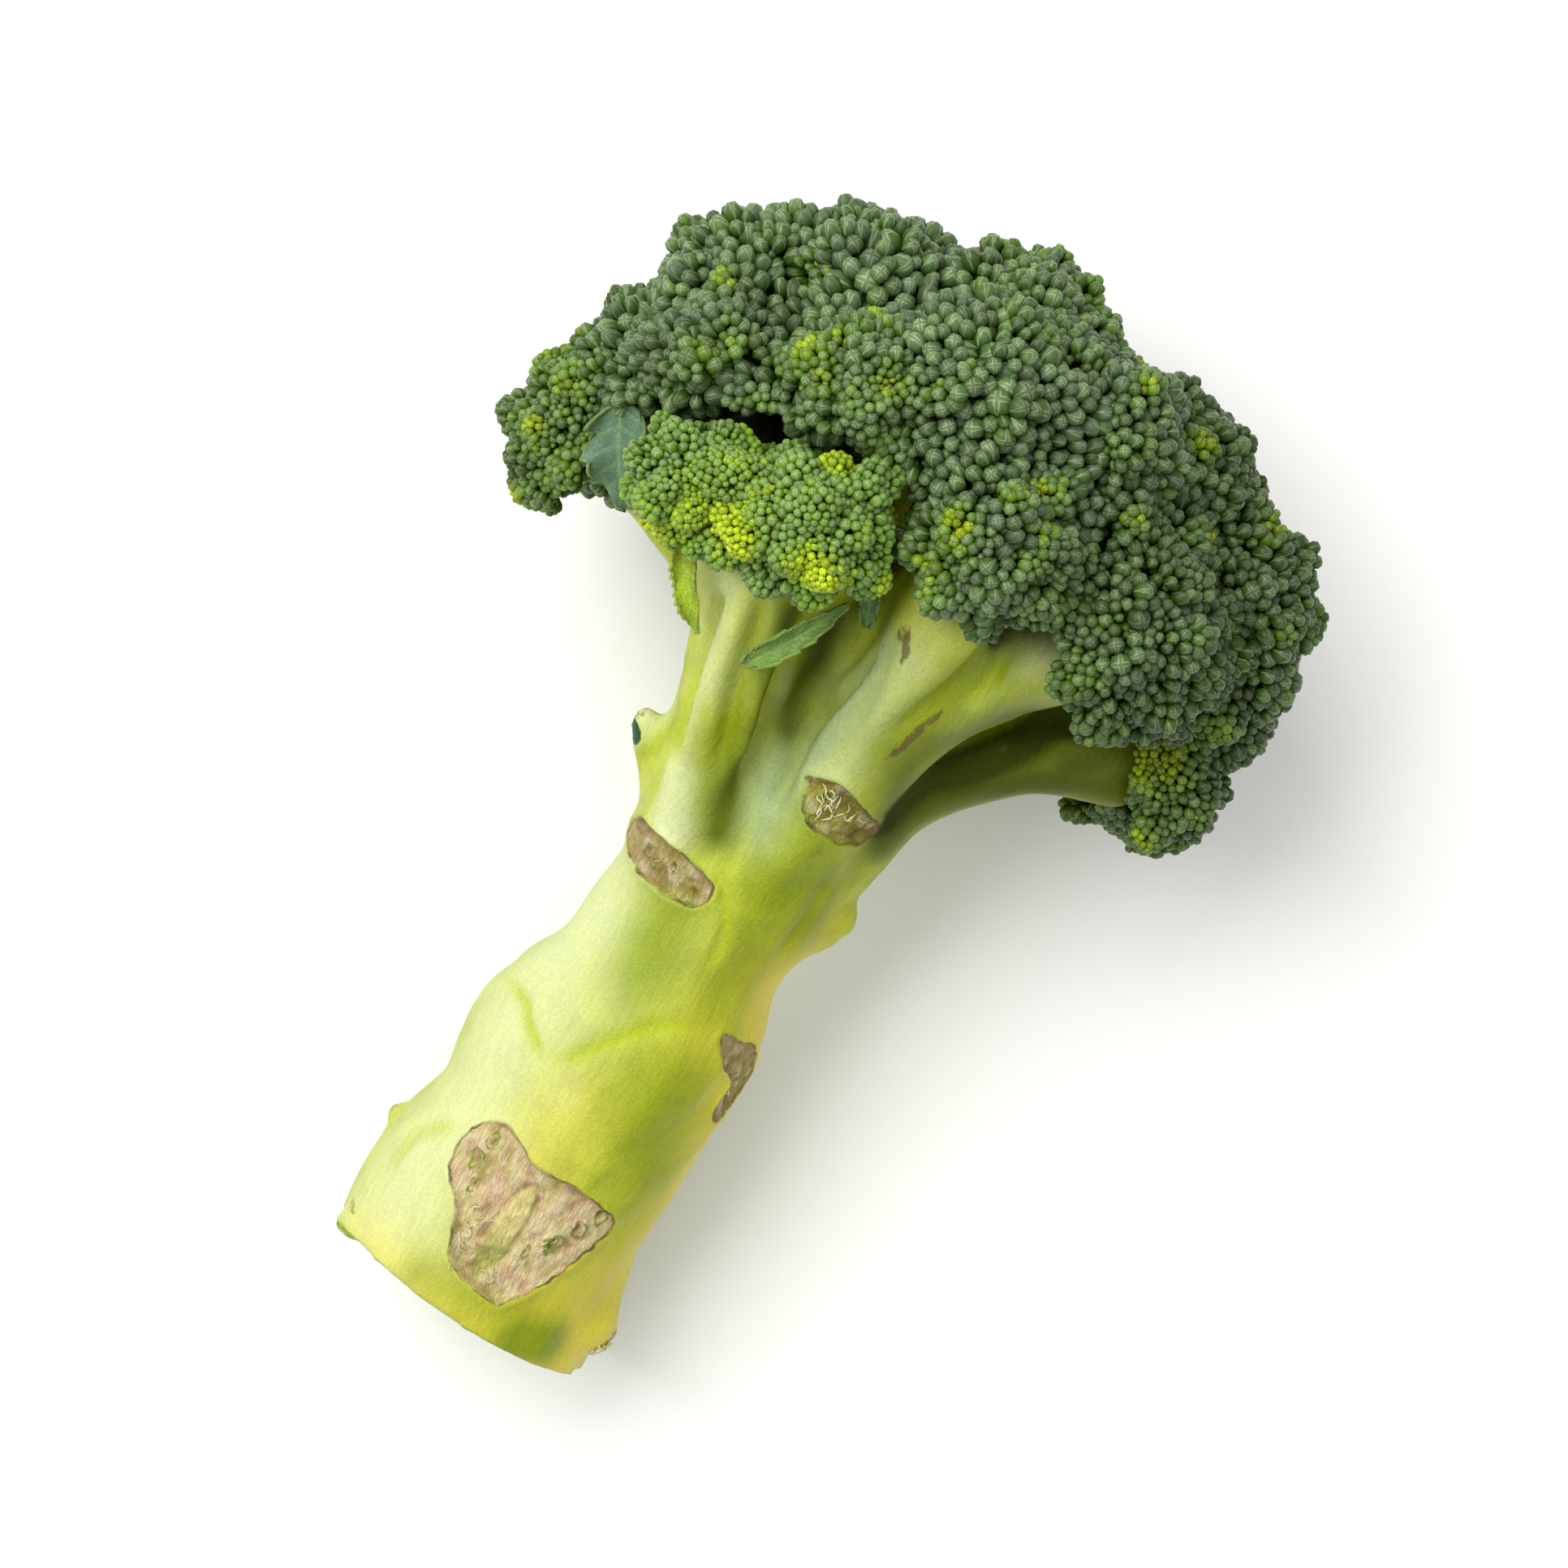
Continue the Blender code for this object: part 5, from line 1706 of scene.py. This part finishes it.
LEAVES = {
    "left": Leaf((37.0, 43.5, 66), (25.0, 36.0, 60), (-0.4, 0.3, 1.0), 11.0, 2.0, 0.0, 4, 0.15),
    "curled": Leaf((26.0, 26.5, 75), (14.5, 18.6, 70.5), (-0.3, 0.3, 1.0), 5.0, 1.6, 0.2, 12, 0.8, 1.0),
    "middle": Leaf((14.0, 11.0, 71.5), (28.0, 2.5, 75), (-0.4, 0.0, 1.0), 4.6, 2.4, 0.16, 6, 0.8, 0.15),
    "shade": Leaf((27.0, -1.2, 66.5), (35.0, 1.5, 70.5), (-0.5, 0.0, 1.0), 3.2, 0.8, 0.1, 3, 0.6),
    "low_left": Leaf((7.0, 9.5, 32), (21.0, 16.0, 29), (-0.4, 0.6, -0.7), 7.0, 1.0, teeth=12),
    "low_right": Leaf((6.0, -14.0, 31), (19.0, -21.5, 28.5), (-0.4, -0.6, -0.7), 6.0, 1.0, teeth=12),
}
LEAF_ROWS = 72
LEAF_COLUMNS = 13  # on each side of the midrib
LEAF_THICKNESS = 0.5
LEAF_CUP = 0.12  # how far the edges rise, as a share of the width
LEAF_WAVE = 0.1  # the waves of the edges, in the same way
TOOTH = 0.13  # how deep the teeth are, in the same way
SIDE_VEINS = 6  # on each side of the midrib


def leaf_grid(leaf, random):
    """Points of a blade's middle surface, the way each faces, and how near each is to a vein."""
    along = np.linspace(0.0, 1.0, LEAF_ROWS)[:, None]
    side = np.linspace(-1.0, 1.0, 2 * LEAF_COLUMNS + 1)[None, :]
    way = leaf.tip - leaf.base
    up = unit(leaf.facing - way * (leaf.facing @ way) / (way @ way))
    across = unit(np.cross(up, way))
    shape = np.sin(math.pi * (0.05 + 0.9 * along) ** 0.75) ** 0.8
    uneven = 0.7 + 0.6 * random.random(2 * leaf.teeth + 2)
    step = along * leaf.teeth
    tooth = (1 - (step % 1.0)) * uneven[(step.astype(int) + leaf.teeth * (side > 0)) % len(uneven)]
    half = leaf.width / 2 * (shape - TOOTH * 2 * tooth * np.abs(side) ** 6)
    turn = side * leaf.roll * math.tau
    out = half * (np.sin(turn) / (leaf.roll * math.tau) if leaf.roll else side)
    rise = half * ((1 - np.cos(turn)) / (leaf.roll * math.tau) if leaf.roll else 0.0)
    rise = rise + leaf.width * LEAF_CUP * side**2 * shape
    phase = random.uniform(0.0, math.tau)
    rise = rise + leaf.width * LEAF_WAVE * np.sin(along * math.tau * 2.2 + phase + 2 * side) * side**2
    rise = rise + leaf.arch * np.sin(math.pi * along)
    slant = along * SIDE_VEINS - np.abs(side) * 1.1
    from_side_vein = np.abs((slant + 0.5) % 1.0 - 0.5) / SIDE_VEINS * np.linalg.norm(way)
    from_midrib = np.abs(side) * half
    vein = np.maximum(np.exp(-((from_midrib / 0.35) ** 2)), 0.7 * np.exp(-((from_side_vein / 0.22) ** 2)))
    rise = rise - 0.18 * vein
    grid = leaf.base + along[..., None] * way + out[..., None] * across + rise[..., None] * up
    return grid, vein


def leaf_mesh(name, leaf, random):
    grid, vein = leaf_grid(leaf, random)
    rows, columns = vein.shape
    count = rows * columns
    number = np.arange(count).reshape(rows, columns)
    quads = np.stack([number[:-1, :-1], number[:-1, 1:], number[1:, 1:], number[1:, :-1]], axis=-1)
    quads = quads.reshape(-1, 4)
    form = bpy.data.meshes.new(name)
    form.from_pydata((grid.reshape(-1, 3) * MM).tolist(), [], quads.tolist())
    add_attribute(form, "vein", "FLOAT", vein.ravel())
    rim = np.abs(np.linspace(-1.0, 1.0, columns))[None, :] * np.ones((rows, 1))
    add_attribute(form, "rim", "FLOAT", rim.ravel())
    add_attribute(form, "tint", "FLOAT", np.full(count, leaf.tint))
    add_attribute(form, "yellow", "FLOAT", np.full(count, leaf.yellow))
    holder = link(name, form)
    wall = holder.modifiers.new("thickness", "SOLIDIFY")
    wall.thickness = LEAF_THICKNESS * MM
    wall.offset = 0.0
    mesh = evaluated_mesh(holder)
    mesh.shade_smooth()
    return mesh


def make_leaves():
    skin = leaf_skin()
    random = np.random.default_rng(settings().buds.seed)
    for name, leaf in LEAVES.items():
        mesh = leaf_mesh("blade_" + name, leaf, random)
        mesh.materials.append(skin)
        piece = link("blade_" + name, mesh)
        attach(piece, "root")
        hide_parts("leaf_" + name)


# Stage --------------------------------------------------------------------------------------------------


SIDE_LIGHT = 0.3  # strength of the light from the sides, as a share of that from above


def make_stage():
    look = settings().stage
    mesh = bpy.data.meshes.new("floor")
    side = 3.0
    corners = [(-side, -side, 0), (side, -side, 0), (side, side, 0), (-side, side, 0)]
    mesh.from_pydata(corners, [], [(0, 1, 2, 3)])
    mesh.materials.append(floor_finish())
    link("floor", mesh)
    camera = link("camera", bpy.data.cameras.new("camera"))
    camera.data.sensor_width = 36.0
    camera.data.lens = look.lens
    camera.location = (2.4 * MM, -2.1 * MM, look.camera_height)
    camera.rotation_euler = (0.0, 0.0, look.camera_turn)
    bpy.context.scene.camera = camera
    add_lights(look)


def add_lights(look):
    world = bpy.data.worlds.new("studio")
    world.use_nodes = True
    tree = world.node_tree
    place = add_node(tree, "ShaderNodeTexCoord").outputs["Generated"]
    way = add_node(tree, "ShaderNodeSeparateXYZ", {0: place})
    strength = eased(tree, way.outputs["Z"], 0.0, 1.0, SIDE_LIGHT * look.sky_strength, look.sky_strength)
    tree.links.new(strength, tree.nodes["Background"].inputs["Strength"])
    tree.nodes["Background"].inputs["Color"].default_value = (1.0, 1.0, 1.0, 1.0)
    bpy.context.scene.world = world
    middle = Vector((0.01, 0.0, 0.05))
    way = Vector((0.26, 0.9, 1.35)).normalized()
    lamp = bpy.data.lights.new("key_light", "AREA")
    lamp.shape = "SQUARE"
    lamp.size = 0.9
    lamp.energy = look.key_power
    key = link("key_light", lamp)
    key.location = middle + way * 1.1
    key.rotation_euler = way.to_track_quat("Z", "Y").to_euler()
    bpy.context.scene.view_settings.view_transform = "Standard"


# Operators ----------------------------------------------------------------------------------------------


class BROCCOLI_OT_florets(bpy.types.Operator):
    """Sets every flower bud on the florets"""

    bl_idname = "broccoli.florets"
    bl_label = "Florets"

    def execute(self, context):
        make_florets()
        return {"FINISHED"}


class BROCCOLI_OT_stalk(bpy.types.Operator):
    """Gives the stalk and its branches their skin, grooves and scars"""

    bl_idname = "broccoli.stalk"
    bl_label = "Stalk"

    def execute(self, context):
        make_stalk()
        return {"FINISHED"}


class BROCCOLI_OT_leaves(bpy.types.Operator):
    """Makes the small leaves between the florets"""

    bl_idname = "broccoli.leaves"
    bl_label = "Leaves"

    def execute(self, context):
        make_leaves()
        return {"FINISHED"}


class BROCCOLI_OT_stage(bpy.types.Operator):
    """Makes the surface, the light and the camera"""

    bl_idname = "broccoli.stage"
    bl_label = "Stage"

    def execute(self, context):
        make_stage()
        return {"FINISHED"}


class BROCCOLI_PT_head(bpy.types.Panel):
    """The steps that make the head, and their settings"""

    bl_idname = "BROCCOLI_PT_head"
    bl_label = "Broccoli Head"
    bl_space_type = "VIEW_3D"
    bl_region_type = "UI"
    bl_category = "Broccoli"

    def draw(self, context):
        for operator in OPERATORS:
            self.layout.operator(operator.bl_idname)
        for group in (settings().buds, settings().stalk, settings().leaves, settings().stage):
            box = self.layout.box()
            for name in group.__annotations__:
                box.prop(group, name)


OPERATORS = (BROCCOLI_OT_stalk, BROCCOLI_OT_florets, BROCCOLI_OT_leaves, BROCCOLI_OT_stage)
SETTINGS = (BudSettings, StalkSettings, LeafSettings, StageSettings, HeadSettings)
CLASSES = (*SETTINGS, *OPERATORS, BROCCOLI_PT_head)


def register():
    for item in CLASSES:
        bpy.utils.register_class(item)
    bpy.types.Scene.broccoli = PointerProperty(type=HeadSettings)


def unregister():
    del bpy.types.Scene.broccoli
    for item in reversed(CLASSES):
        bpy.utils.unregister_class(item)


def main():
    register()
    bpy.ops.broccoli.stalk()
    bpy.ops.broccoli.florets()
    bpy.ops.broccoli.leaves()
    bpy.ops.broccoli.stage()


if __name__ == "__main__":
    main()
